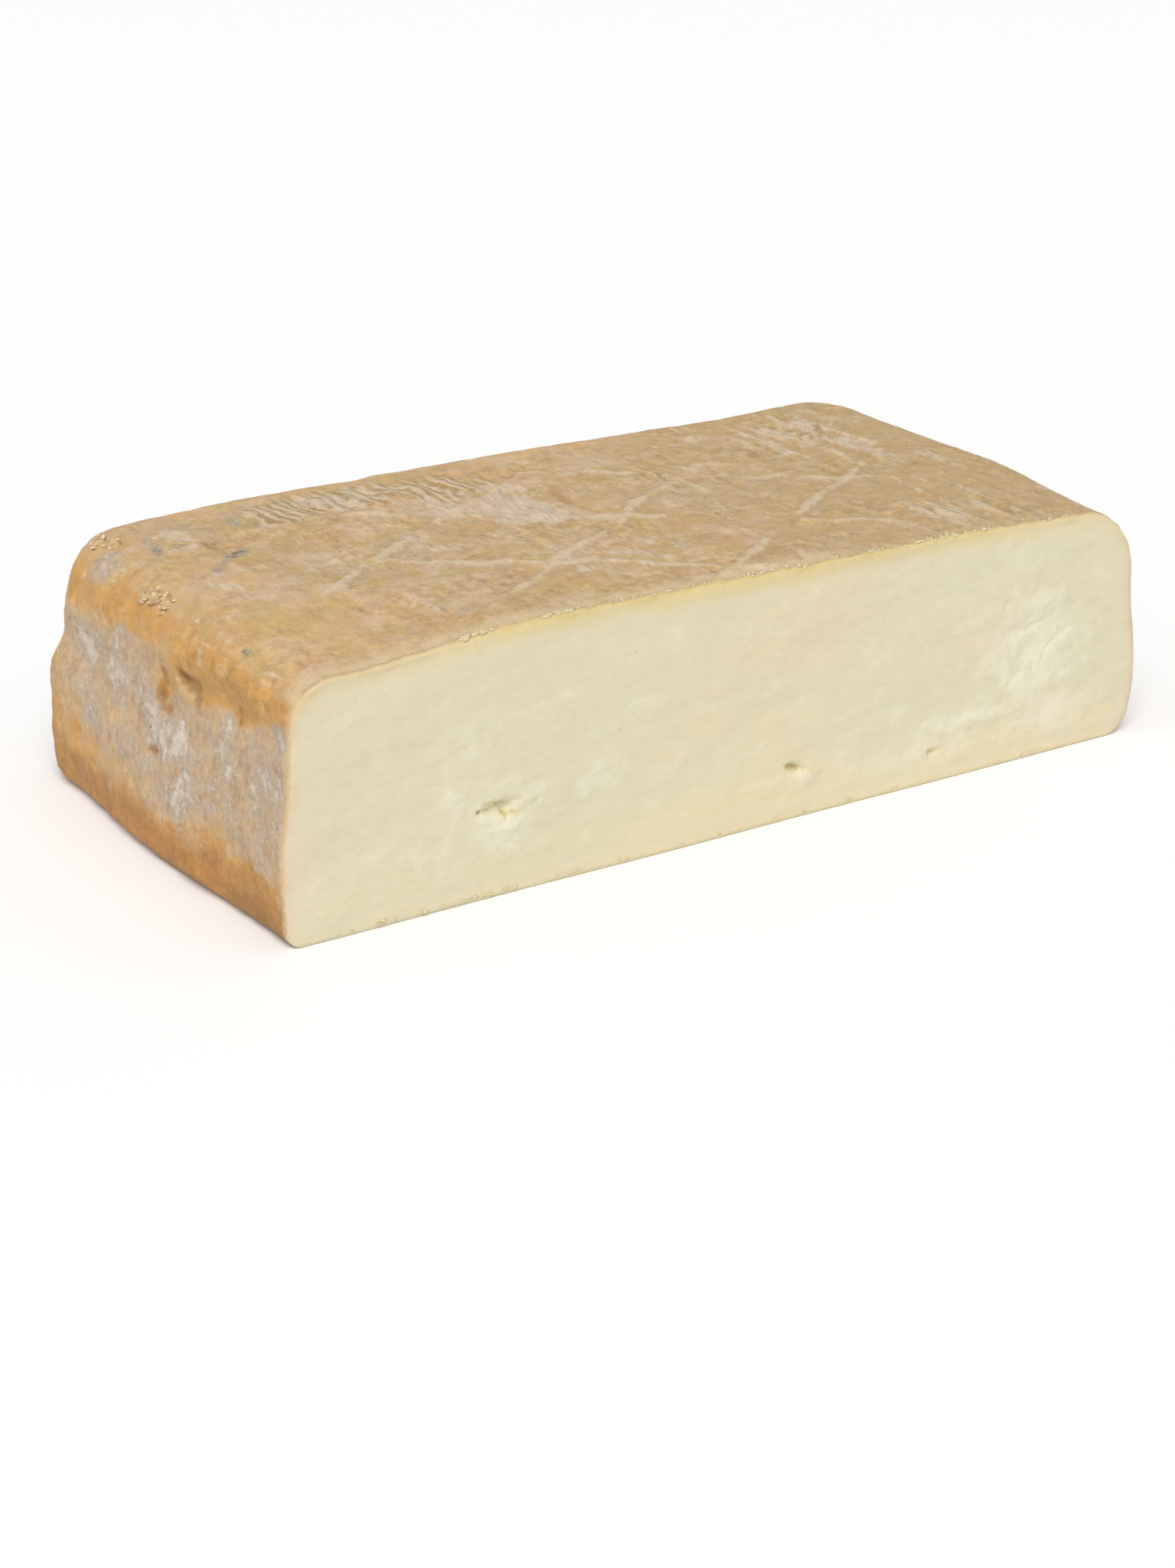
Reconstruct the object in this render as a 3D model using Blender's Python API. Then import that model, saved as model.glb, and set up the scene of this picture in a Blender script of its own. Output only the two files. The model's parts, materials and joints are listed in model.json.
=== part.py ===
"""Half of a square washed-rind cheese, cut straight across, lying on its flat face.

Metres, +Z up. The origin is the middle of the footprint, on the surface that the cheese rests on.
+X runs along the cut face, and the cut face looks along -Y. The solid is one closed body: a box of
fine squares is pushed into the swollen, soft-cornered block, its cloth-marked top and its torn cut.
"""

import math

import bmesh
import bpy
import numpy as np

NAME = "taleggio_half"

# The block, measured between its faces where they are flattest
LENGTH = 0.1922
DEPTH = 0.0990
HEIGHT = 0.0506
GRID = 0.0016
TRIANGLES = 10000

# Roundings: the two uncut upright corners, and the edges round the top and the bottom
CORNER_LOW = 0.0105
CORNER_HIGH = 0.0150
CORNER_GROWS = (0.018, 0.044)
TOP_EDGE = 0.0072
TOP_EDGE_END = 0.0092
TOP_EDGE_WORN = 0.0145
WORN_REACH = 0.0400
BOTTOM_EDGE_LEFT = 0.0028
BOTTOM_EDGE_RIGHT = 0.0052
BOTTOM_EDGE_BACK = 0.0006
RIGHT_GROWS = (-0.080, 0.090)
BACK_GROWS = (-0.010, 0.050)

# The sides swell low down, where the young cheese sagged: how far at the cut and far from it
LEFT_SWELL = (0.0016, 0.0019)
RIGHT_SWELL = (0.0032, 0.0032)
BACK_SWELL = 0.0024
SWELL_HEIGHT = 0.0115
SWELL_SPREAD = 0.0150
SWELL_REACH = 0.0300
LEAN = 0.0006
LEAN_START = 0.0150
RIGHT_PUSH = 0.0005
FLARE = 0.0015
FLARE_REACH = 0.0550

HALF_LENGTH = LENGTH / 2
FRONT = -DEPTH / 2
BACK = DEPTH / 2

# Soft hills and hollows of the top: middle x, middle y, radius, height
TOP_HILLS = (
    (0.015, 0.055, 0.095, 0.0008),
    (-0.045, -0.040, 0.045, 0.0003),
    (0.090, -0.054, 0.050, -0.0013),
    (-0.088, -0.050, 0.046, -0.0028),
    (-0.098, 0.040, 0.042, -0.0016),
    (0.083, 0.046, 0.024, 0.0010),
    (-0.032, 0.048, 0.007, -0.0008),
    (0.001, 0.013, 0.011, -0.0007),
    (0.040, 0.012, 0.040, -0.0004),
)

# Hollows and lumps of the left end: middle y, middle z, radius along y, radius along z, outward height
LEFT_DENTS = (
    (-0.0155, 0.0380, 0.0050, 0.0042, -0.0013),
    (-0.0053, 0.0325, 0.0045, 0.0080, -0.0014),
    (-0.0028, 0.0212, 0.0040, 0.0040, -0.0008),
    (0.0280, 0.0320, 0.0100, 0.0110, -0.0008),
    (0.0420, 0.0310, 0.0250, 0.0060, -0.0005),
    (0.0420, 0.0235, 0.0250, 0.0060, 0.0007),
    (0.0420, 0.0150, 0.0250, 0.0060, -0.0004),
    (0.0420, 0.0455, 0.0250, 0.0070, -0.0006),
    (-0.0300, 0.0390, 0.0240, 0.0065, -0.0008),
    (-0.0320, 0.0465, 0.0300, 0.0050, 0.0005),
    (-0.0150, 0.0180, 0.0130, 0.0130, 0.0006),
    (0.0120, 0.0150, 0.0140, 0.0140, 0.0006),
    (-0.0050, 0.0020, 0.0400, 0.0160, 0.0012),
)

# Curd that was pressed out at the rim of the mould: middle x, middle y, radius, height
CURD_LUMPS = (
    (-0.0885, 0.0370, 0.0045, 0.0014),
    (-0.0945, 0.0045, 0.0045, 0.0013),
    (-0.0935, -0.0005, 0.0045, 0.0012),
)

# Ridges that the draining mat pressed into the top run in depth
MAT_PITCH = 0.0071
MAT_SLANT = 0.0600
MAT_HEIGHT = 0.0005
MAT_PATCHES = (
    (0.068, 0.016, 0.017, 0.032),
    (0.062, -0.038, 0.016, 0.014),
    (-0.035, 0.032, 0.030, 0.012),
)

# A wide lattice of shallow ridges crosses the middle of the top: pitch, slope, and where it fades out
LATTICE_PITCH = 0.0300
LATTICE_SLOPE = math.radians(33.0)
LATTICE_START = 0.0060
LATTICE_WIDTH = 0.0016
LATTICE_HEIGHT = 0.0007
LATTICE_PATCH = (-0.004, -0.008, 0.096, 0.062)
LATTICE_FADE = 0.35

# Torn eyes in the cut: middle x, middle z, half width, half height, depth, tilt in degrees
EYES = (
    (-0.0545, 0.0172, 0.0064, 0.0024, 0.0016, 5.0),
    (0.0120, 0.0100, 0.0042, 0.0020, 0.0012, -18.0),
    (0.0461, 0.0063, 0.0028, 0.0018, 0.0008, -8.0),
)

# Slow waves that the knife left: their height and lengths, and how far back from the cut they reach
CUT_WAVE = 0.00025
WAVE_LONG = 0.0190
WAVE_TALL = 0.0125
WAVE_SLANT = 0.0110
CUT_REACH = GRID * 0.9

# Share of the height below which the relief of the top does nothing
TOP_SHARE = 0.25

RIND_COLOUR = (0.545, 0.342, 0.176, 1.0)
RIND_ROUGHNESS = 0.72


def ease(value, start, end):
    """Go smoothly from 0 at start to 1 at end."""
    t = np.clip((value - start) / (end - start), 0.0, 1.0)
    return t * t * (3.0 - 2.0 * t)


def hill(x, y, middle_x, middle_y, radius_x, radius_y):
    """A smooth hill of height 1 that reaches the ground at its radii."""
    away = np.hypot((x - middle_x) / radius_x, (y - middle_y) / radius_y)
    return 1.0 - ease(away, 0.0, 1.0)


def squared_to_round(first, second, radius):
    """Bend the square corner of two distances from two faces into a quarter circle."""
    a = np.clip(radius - first, 0.0, None)
    b = np.clip(radius - second, 0.0, None)
    ring = np.maximum(a, b)
    length = np.hypot(a, b)
    scale = np.divide(ring, length, out=np.ones_like(ring), where=length > 0.0)
    return np.where(a > 0.0, radius - a * scale, first), np.where(b > 0.0, radius - b * scale, second)


def sag(z):
    """Share of the swelling at a height."""
    return np.exp(-(((z - SWELL_HEIGHT) / SWELL_SPREAD) ** 2))


def rounded_block(x, y, z):
    """Round the upright corners at the back, then the edges round the top and the bottom."""
    side = np.sign(x)
    corner = CORNER_LOW + (CORNER_HIGH - CORNER_LOW) * ease(z, *CORNER_GROWS)
    from_end = HALF_LENGTH - np.abs(x)
    from_back = BACK - y
    from_wall = np.minimum(from_end, from_back)
    end_share = np.where(from_end < from_back, 1.0, 0.0)
    a = np.clip(corner - from_end, 0.0, None)
    b = np.clip(corner - from_back, 0.0, None)
    length = np.hypot(a, b)
    in_corner = length > 0.0
    safe = np.where(in_corner, length, 1.0)
    normal_x = np.where(in_corner, a / safe, end_share)
    normal_y = np.where(in_corner, b / safe, 1.0 - end_share)
    from_end, from_back = squared_to_round(from_end, from_back, corner)
    worn = hill(x, y, HALF_LENGTH, FRONT, WORN_REACH, WORN_REACH)
    top_edge = TOP_EDGE + (TOP_EDGE_END - TOP_EDGE) * normal_x**2 + (TOP_EDGE_WORN - TOP_EDGE_END) * worn
    wall_top, from_top = squared_to_round(from_wall, HEIGHT - z, top_edge)
    bottom_edge = BOTTOM_EDGE_LEFT + (BOTTOM_EDGE_RIGHT - BOTTOM_EDGE_LEFT) * ease(x, *RIGHT_GROWS)
    bottom_edge += BOTTOM_EDGE_BACK * ease(y, *BACK_GROWS)
    wall_low, from_floor = squared_to_round(from_wall, z, bottom_edge)
    moved_in = (wall_top - from_wall) + (wall_low - from_wall)
    new_x = side * (HALF_LENGTH - from_end - normal_x * moved_in)
    new_y = BACK - from_back - normal_y * moved_in
    upper = z > HEIGHT / 2
    new_z = np.where(upper, HEIGHT - from_top, from_floor)
    return new_x, new_y, new_z


def end_swell(x, y, z):
    """How far an end wall stands out: it sags low down, leans in above and flares away from the cut."""
    uncut = ease(y, FRONT, FRONT + FLARE_REACH)
    at_cut = np.where(x < 0.0, LEFT_SWELL[0], RIGHT_SWELL[0])
    far = np.where(x < 0.0, LEFT_SWELL[1], RIGHT_SWELL[1])
    lean = np.where(x < 0.0, -LEAN * ease(z, LEAN_START, HEIGHT), RIGHT_PUSH)
    return (at_cut + (far - at_cut) * uncut) * sag(z) + FLARE * uncut + lean


def back_swell(z):
    return BACK_SWELL * sag(z) - LEAN * ease(z, LEAN_START, HEIGHT)


def top_relief(x, y):
    """Height of the top above its flat: hills, lumps of curd, mat ridges and the lattice."""
    height = np.zeros_like(x)
    for middle_x, middle_y, radius, rise in TOP_HILLS + CURD_LUMPS:
        height += rise * hill(x, y, middle_x, middle_y, radius, radius)
    for middle_x, middle_y, radius_x, radius_y in MAT_PATCHES:
        wave = np.cos(2.0 * math.pi * (x + MAT_SLANT * y) / MAT_PITCH)
        height += MAT_HEIGHT * wave * hill(x, y, middle_x, middle_y, radius_x, radius_y)
    shown = ease(hill(x, y, *LATTICE_PATCH), 0.0, LATTICE_FADE)
    for way in (1.0, -1.0):
        across = y * math.cos(LATTICE_SLOPE) + way * x * math.sin(LATTICE_SLOPE) + LATTICE_START
        off_ridge = np.abs((across / LATTICE_PITCH + 0.5) % 1.0 - 0.5) * LATTICE_PITCH
        height += shown * LATTICE_HEIGHT * np.exp(-((off_ridge / LATTICE_WIDTH) ** 2))
    return height


def end_relief(y, z):
    """How far the left end stands out beyond its plain curve."""
    out = np.zeros_like(y)
    for middle_y, middle_z, radius_y, radius_z, rise in LEFT_DENTS:
        out += rise * hill(y, z, middle_y, middle_z, radius_y, radius_z)
    return out


def cut_relief(x, z):
    """How deep the cut face lies behind its plane: slow waves of the wire, and the torn eyes."""
    crossed = np.sin(x / WAVE_LONG + 0.8) * np.sin(z / WAVE_TALL)
    slanted = np.sin((x - 2.2 * z) / WAVE_SLANT)
    deep = CUT_WAVE * (crossed + 0.5 * slanted)
    for middle_x, middle_z, half_width, half_height, depth, tilt in EYES:
        turn = math.radians(tilt)
        along = (x - middle_x) * math.cos(turn) + (z - middle_z) * math.sin(turn)
        up = (z - middle_z) * math.cos(turn) - (x - middle_x) * math.sin(turn)
        deep += depth * hill(along, up, 0.0, 0.0, half_width, half_height)
    return deep


def shaped(points):
    """Push the points of the plain box into the shape of the cheese."""
    x0, y0, z0 = points.T
    from_end = HALF_LENGTH - np.abs(x0)
    x, y, z = rounded_block(x0, y0, z0)
    near_end = 1.0 - ease(from_end, 0.0, SWELL_REACH)
    near_back = 1.0 - ease(BACK - y0, 0.0, SWELL_REACH)
    x = x + np.sign(x0) * near_end * end_swell(x0, y0, z0)
    y = y + near_back * back_swell(z0)
    left = np.where(x0 < 0.0, near_end, 0.0)
    x = x - left * end_relief(y, z)
    near_top = ease(z0, HEIGHT * TOP_SHARE, HEIGHT)
    z = z + near_top * top_relief(x, y)
    at_cut = 1.0 - ease(y0 - FRONT, 0.0, CUT_REACH)
    y = y + at_cut * cut_relief(x, z)
    return np.stack((x, y, z), axis=1)


def gridded_box():
    """A closed box of even squares, made by cutting a cube's edges one direction after another."""
    bm = bmesh.new()
    bmesh.ops.create_cube(bm, size=1.0)
    sizes = (LENGTH, DEPTH, HEIGHT)
    bmesh.ops.translate(bm, verts=bm.verts, vec=(0.0, 0.0, 0.5))
    bmesh.ops.scale(bm, verts=bm.verts, vec=sizes)
    for axis, size in enumerate(sizes):
        edges = [e for e in bm.edges if abs(e.verts[0].co[axis] - e.verts[1].co[axis]) > size / 2]
        bmesh.ops.subdivide_edges(bm, edges=edges, cuts=round(size / GRID) - 1, use_grid_fill=True)
    return bm


def cheese_mesh():
    bm = gridded_box()
    mesh = bpy.data.meshes.new(NAME)
    bm.to_mesh(mesh)
    bm.free()
    points = np.empty(len(mesh.vertices) * 3)
    mesh.vertices.foreach_get("co", points)
    points = shaped(points.reshape(-1, 3))
    middle = (points.min(axis=0) + points.max(axis=0)) / 2
    points -= (middle[0], middle[1], points[:, 2].min())
    mesh.vertices.foreach_set("co", points.ravel())
    mesh.update()
    return mesh


def rind_material():
    material = bpy.data.materials.new("rind")
    material.use_nodes = True
    shader = material.node_tree.nodes["Principled BSDF"]
    shader.inputs["Base Color"].default_value = RIND_COLOUR
    shader.inputs["Roughness"].default_value = RIND_ROUGHNESS
    shader.inputs["Metallic"].default_value = 0.0
    return material


def main():
    for old in list(bpy.data.objects):
        bpy.data.objects.remove(old)
    mesh = cheese_mesh()
    mesh.materials.append(rind_material())
    mesh.shade_smooth()
    cheese = bpy.data.objects.new(NAME, mesh)
    bpy.context.scene.collection.objects.link(cheese)
    fewer = cheese.modifiers.new("fewer triangles", "DECIMATE")
    fewer.ratio = TRIANGLES / (2 * len(mesh.polygons))
    print(NAME, "squares", len(mesh.polygons), "size mm", [round(s * 1000, 2) for s in cheese.dimensions])


main()
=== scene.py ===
# %% [markdown]
# Half a washed-rind cheese
#
# This lesson dresses one half of a square soft cheese that was cut straight across. The packed model
# already holds its true size and place, so nothing here moves or resizes it. What is added is the
# skin that the eye wants: the pressed marks of the mat, the bloom, the torn eyes and the crumbs.

import json
import math
import random

import bmesh
import bpy
import numpy as np
from mathutils import Matrix, Vector, noise
from mathutils.bvhtree import BVHTree

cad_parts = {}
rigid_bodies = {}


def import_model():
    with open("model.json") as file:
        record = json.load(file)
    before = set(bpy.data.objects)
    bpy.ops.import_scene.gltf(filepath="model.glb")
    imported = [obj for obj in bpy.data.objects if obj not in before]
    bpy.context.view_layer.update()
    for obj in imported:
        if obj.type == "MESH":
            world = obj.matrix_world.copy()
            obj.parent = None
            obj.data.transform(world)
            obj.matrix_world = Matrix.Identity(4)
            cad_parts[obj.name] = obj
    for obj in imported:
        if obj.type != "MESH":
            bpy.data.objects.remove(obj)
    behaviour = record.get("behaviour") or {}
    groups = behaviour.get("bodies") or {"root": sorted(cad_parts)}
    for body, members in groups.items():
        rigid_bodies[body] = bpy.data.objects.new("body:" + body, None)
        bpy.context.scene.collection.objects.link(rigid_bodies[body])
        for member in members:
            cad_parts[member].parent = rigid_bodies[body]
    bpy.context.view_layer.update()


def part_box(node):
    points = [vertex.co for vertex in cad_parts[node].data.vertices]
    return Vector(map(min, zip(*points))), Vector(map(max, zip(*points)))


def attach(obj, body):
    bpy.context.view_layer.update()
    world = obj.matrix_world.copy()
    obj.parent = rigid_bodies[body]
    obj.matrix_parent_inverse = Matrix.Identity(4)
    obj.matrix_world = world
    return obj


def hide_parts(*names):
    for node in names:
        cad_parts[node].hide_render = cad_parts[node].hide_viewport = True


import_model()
NODE = "taleggio_half"

# %% [markdown]
# The camera
#
# The photograph was taken from above the left end, with a longish lens, so that the cut runs away to
# the right. The camera could be set by eye, but its place was worked out from the corners of the
# block, so that the render can be laid over the picture. The lens is long enough to keep the sides
# nearly parallel, and there is neither shift nor depth of field.

# %% Camera
CAMERA_PLACE = (-0.28994, -0.42581, 0.20349)
CAMERA_TURN = (67.681, -0.672, -33.758)
LENS_MM = 62.5
SENSOR_MM = 36.0


def in_scene(name, data):
    """A new object of the given data, linked to the scene; it sits at the origin, unturned."""
    thing = bpy.data.objects.new(name, data)
    bpy.context.scene.collection.objects.link(thing)
    return thing


def studio_camera():
    data = bpy.data.cameras.new("camera")
    data.lens = LENS_MM
    data.sensor_width = SENSOR_MM
    camera = in_scene("camera", data)
    camera.location = CAMERA_PLACE
    camera.rotation_euler = [math.radians(angle) for angle in CAMERA_TURN]
    bpy.context.scene.camera = camera
    return camera


camera = studio_camera()
print("camera height in mm:", round(camera.location.z * 1000.0, 1))

# %% [markdown]
# The block, as a box of fine squares
#
# A soft cheese has no sharp machine shape. It could be sculpted, or cut from a rounded cube with
# modifiers, but then no point would know where on the cheese it lies. Here a plain cube is cut into
# fine squares with subdivide_edges and each square's corners are pushed into place by a few
# functions. The lines lie closer together at the cut, where the rim is ragged. The middle of the
# flat base is one face, because nobody sees it and it needs no squares.

# %% Sizes of the block, in metres
LENGTH = 0.1922
DEPTH = 0.0990
HEIGHT = 0.0506
HALF_LENGTH = LENGTH / 2
FRONT = -DEPTH / 2
BACK = DEPTH / 2
print("block in mm:", LENGTH * 1000.0, DEPTH * 1000.0, HEIGHT * 1000.0)

# %% Places of the grid lines along one side
FINE = 0.00036
LINE_STEPS = {"x": 0.00070, "y": 0.00090, "z": 0.00092}
DENSE_AT_CUT = 0.0036
DENSE_AT_TOP = 0.0022


def grid_lines(length, step, dense_low=0.0, dense_high=0.0):
    low = np.linspace(0.0, dense_low, 1 + round(dense_low / FINE))
    high = np.linspace(length - dense_high, length, 1 + round(dense_high / FINE))
    between = length - dense_low - dense_high
    middle = np.linspace(dense_low, length - dense_high, 1 + round(between / step))
    return np.unique(np.round(np.concatenate((low, middle, high)), 7))


LINES = (
    grid_lines(LENGTH, LINE_STEPS["x"]) - HALF_LENGTH,
    grid_lines(DEPTH, LINE_STEPS["y"], dense_low=DENSE_AT_CUT) + FRONT,
    grid_lines(HEIGHT, LINE_STEPS["z"], dense_high=DENSE_AT_TOP),
)
print("grid lines along x, y and z:", [len(lines) for lines in LINES])

# %% The gridded box, with finer squares where the cut is torn
BASE_RIM = 0.0075
BASE_RIM_AT_CUT = 0.003
TINY = 1e-6
TORN_BOXES = (
    (-0.0640, -0.0440, 0.0085, 0.0225, 2),
    (0.0060, 0.0200, 0.0045, 0.0145, 2),
    (0.0410, 0.0500, 0.0035, 0.0095, 2),
    (0.0560, 0.0840, 0.0090, 0.0370, 1),
)


def refine_torn_places(bm):
    """Cuts the squares of the cut finer inside each box of TORN_BOXES: x and z range, and cuts."""
    for x_low, x_high, z_low, z_high, cuts in TORN_BOXES:
        edges = set()
        for face in bm.faces:
            middle = face.calc_center_median()
            on_front = middle.y < FRONT + TINY
            if on_front and x_low < middle.x < x_high and z_low < middle.z < z_high:
                edges.update(face.edges)
        bmesh.ops.subdivide_edges(bm, edges=list(edges), cuts=cuts, use_grid_fill=True)


def gridded_box():
    """A box whose points lie on the grid lines, with one plain face in the middle of its base."""
    bm = bmesh.new()
    bmesh.ops.create_cube(bm, size=1.0)
    for axis in range(3):
        along = []
        for edge in bm.edges:
            a, b = (vert.co for vert in edge.verts)
            if abs(a[axis] - b[axis]) > 0.9:
                along.append(edge)
        bmesh.ops.subdivide_edges(bm, edges=along, cuts=len(LINES[axis]) - 2, use_grid_fill=True)
    for vert in bm.verts:
        for axis in range(3):
            line = round((vert.co[axis] + 0.5) * (len(LINES[axis]) - 1))
            vert.co[axis] = LINES[axis][line]
    hidden = []
    for face in bm.faces:
        middle = face.calc_center_median()
        inside_x = abs(middle.x) < HALF_LENGTH - BASE_RIM
        inside_y = FRONT + BASE_RIM_AT_CUT < middle.y < BACK - BASE_RIM
        if inside_x and inside_y and middle.z < TINY:
            hidden.append(face)
    bmesh.ops.dissolve_faces(bm, faces=hidden, use_verts=True)
    refine_torn_places(bm)
    bmesh.ops.triangulate(bm, faces=[face for face in bm.faces if len(face.verts) > 4])
    return bm


box = gridded_box()
print("box:", len(box.verts), "points,", len(box.faces), "faces")

# %% [markdown]
# The form of the block
#
# The young cheese was ladled into a square mould, turned, and left to ripen on boards. It sagged, so
# its sides swell low down, its top edges are round and one corner is worn. Each of these is one short
# function that takes points and gives points, and they are the same as in the packed model, so the
# two agree. Circles come from squares: a ring of the square grid is pulled onto a round ring.

# %% Roundings and swelling of the block
CORNER_LOW = 0.0105
CORNER_HIGH = 0.0150
CORNER_GROWS = (0.018, 0.044)
TOP_EDGE = 0.0072
TOP_EDGE_END = 0.0092
TOP_EDGE_WORN = 0.0145
WORN_REACH = 0.0400
BOTTOM_EDGE_LEFT = 0.0028
BOTTOM_EDGE_RIGHT = 0.0052
BOTTOM_EDGE_BACK = 0.0006
RIGHT_GROWS = (-0.080, 0.090)
BACK_GROWS = (-0.010, 0.050)
LEFT_SWELL = (0.0016, 0.0019)
RIGHT_SWELL = (0.0032, 0.0032)
BACK_SWELL = 0.0024
SWELL_HEIGHT = 0.0115
SWELL_SPREAD = 0.0150
SWELL_REACH = 0.0300
LEAN = 0.0006
LEAN_START = 0.0150
RIGHT_PUSH = 0.0005
FLARE = 0.0015
FLARE_REACH = 0.0550


def ease(value, start, end):
    """0 before start, 1 after end, and a smooth rise between them."""
    t = np.clip((value - start) / (end - start), 0.0, 1.0)
    return t * t * (3.0 - 2.0 * t)


def hill(x, y, middle_x, middle_y, radius_x, radius_y):
    """A smooth hill, 1 in its middle and 0 past its rim."""
    away = np.hypot((x - middle_x) / radius_x, (y - middle_y) / radius_y)
    return 1.0 - ease(away, 0.0, 1.0)


def squared_to_round(first, second, radius):
    """Pulls the square corner between two walls onto an arc; both are distances from a wall."""
    a = np.clip(radius - first, 0.0, None)
    b = np.clip(radius - second, 0.0, None)
    ring = np.maximum(a, b)
    length = np.hypot(a, b)
    scale = np.divide(ring, length, out=np.ones_like(ring), where=length > 0.0)
    return np.where(a > 0.0, radius - a * scale, first), np.where(b > 0.0, radius - b * scale, second)


print("corner radius in mm:", CORNER_LOW * 1000.0, "low and", CORNER_HIGH * 1000.0, "high")

# %% Upright corners and the edges round the top and the base
def rounded_block(x, y, z):
    corner = CORNER_LOW + (CORNER_HIGH - CORNER_LOW) * ease(z, *CORNER_GROWS)
    from_end = HALF_LENGTH - np.abs(x)
    from_back = BACK - y
    from_wall = np.minimum(from_end, from_back)
    end_share = np.where(from_end < from_back, 1.0, 0.0)
    a = np.clip(corner - from_end, 0.0, None)
    b = np.clip(corner - from_back, 0.0, None)
    length = np.hypot(a, b)
    in_corner = length > 0.0
    safe = np.where(in_corner, length, 1.0)
    normal_x = np.where(in_corner, a / safe, end_share)
    normal_y = np.where(in_corner, b / safe, 1.0 - end_share)
    from_end, from_back = squared_to_round(from_end, from_back, corner)
    worn = hill(x, y, HALF_LENGTH, FRONT, WORN_REACH, WORN_REACH)
    top_edge = TOP_EDGE + (TOP_EDGE_END - TOP_EDGE) * normal_x**2
    top_edge += (TOP_EDGE_WORN - TOP_EDGE_END) * worn
    wall_top, from_top = squared_to_round(from_wall, HEIGHT - z, top_edge)
    bottom_edge = BOTTOM_EDGE_LEFT + (BOTTOM_EDGE_RIGHT - BOTTOM_EDGE_LEFT) * ease(x, *RIGHT_GROWS)
    bottom_edge += BOTTOM_EDGE_BACK * ease(y, *BACK_GROWS)
    wall_low, from_floor = squared_to_round(from_wall, z, bottom_edge)
    moved_in = (wall_top - from_wall) + (wall_low - from_wall)
    new_x = np.sign(x) * (HALF_LENGTH - from_end - normal_x * moved_in)
    new_y = BACK - from_back - normal_y * moved_in
    return new_x, new_y, np.where(z > HEIGHT / 2, HEIGHT - from_top, from_floor)


def sag(z):
    return np.exp(-(((z - SWELL_HEIGHT) / SWELL_SPREAD) ** 2))


def end_swell(x, y, z):
    uncut = ease(y, FRONT, FRONT + FLARE_REACH)
    at_cut = np.where(x < 0.0, LEFT_SWELL[0], RIGHT_SWELL[0])
    far = np.where(x < 0.0, LEFT_SWELL[1], RIGHT_SWELL[1])
    lean = np.where(x < 0.0, -LEAN * ease(z, LEAN_START, HEIGHT), RIGHT_PUSH)
    return (at_cut + (far - at_cut) * uncut) * sag(z) + FLARE * uncut + lean


def back_swell(z):
    return BACK_SWELL * sag(z) - LEAN * ease(z, LEAN_START, HEIGHT)


print("the back swells by", BACK_SWELL * 1000.0, "mm at", SWELL_HEIGHT * 1000.0, "mm up")

# %% [markdown]
# The top: soft hills, mat marks and a shallow lattice
#
# The top was pressed against a draining mat, which left shallow ridges, and the maker pressed a
# pattern into it. Here the pattern is a plain wide lattice. The ridges could be a bump texture
# alone, but they show at the edges and in raking light, so they are real relief, each a rounded
# ridge a few tenths of a millimetre high. The functions give a height for each point of the top.

# %% Soft hills, mat waves and the lattice
TOP_HILLS = (
    (0.015, 0.055, 0.095, 0.0008),
    (-0.045, -0.040, 0.045, 0.0003),
    (0.090, -0.054, 0.050, -0.0013),
    (-0.088, -0.050, 0.046, -0.0028),
    (-0.098, 0.040, 0.042, -0.0016),
    (0.083, 0.046, 0.024, 0.0010),
    (-0.032, 0.048, 0.007, -0.0008),
    (0.001, 0.013, 0.011, -0.0007),
    (0.040, 0.012, 0.040, -0.0004),
)
MAT_PITCH = 0.0071
MAT_SLANT = 0.0600
MAT_HEIGHT = 0.0005
MAT_PATCHES = (
    (0.068, 0.016, 0.017, 0.032),
    (0.062, -0.038, 0.016, 0.014),
    (-0.035, 0.032, 0.030, 0.012),
)
LATTICE_PITCH = 0.0300
LATTICE_SLOPE = math.radians(33.0)
LATTICE_START = 0.0060
LATTICE_WIDTH = 0.0016
LATTICE_HEIGHT = 0.0007
LATTICE_PATCH = (-0.004, -0.008, 0.096, 0.062)
LATTICE_FADE = 0.35


def lattice(x, y):
    """1 on the ridges of the lattice and 0 between them, fading out towards the edges of the top."""
    shown = ease(hill(x, y, *LATTICE_PATCH), 0.0, LATTICE_FADE)
    ridges = np.zeros_like(x)
    for way in (1.0, -1.0):
        across = y * math.cos(LATTICE_SLOPE) + way * x * math.sin(LATTICE_SLOPE) + LATTICE_START
        off_ridge = np.abs((across / LATTICE_PITCH + 0.5) % 1.0 - 0.5) * LATTICE_PITCH
        ridges = np.maximum(ridges, shown * np.exp(-((off_ridge / LATTICE_WIDTH) ** 2)))
    return ridges


def mat_waves(x, y):
    """Waves of the draining mat, whose ridges run from the cut to the back."""
    wave = np.cos(2.0 * math.pi * (x + MAT_SLANT * y) / MAT_PITCH)
    shown = np.zeros_like(x)
    for patch in MAT_PATCHES:
        shown += hill(x, y, *patch)
    return wave * shown


def top_relief(x, y):
    height = np.zeros_like(x)
    for middle_x, middle_y, radius, rise in TOP_HILLS:
        height += rise * hill(x, y, middle_x, middle_y, radius, radius)
    return height


print("lattice of", LATTICE_PITCH * 1000.0, "mm, mat ridges", round(MAT_PITCH * 1000.0, 1), "mm apart")

# %% [markdown]
# The left end and the cut
#
# The rind of the end is dented where curds did not knit, and the knife left the cut nearly flat, with
# slow waves and a few torn eyes. Both are written as small hills and hollows on a flat map of the
# face, because then each has a middle, a size and a depth that can be read off the picture.

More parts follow.
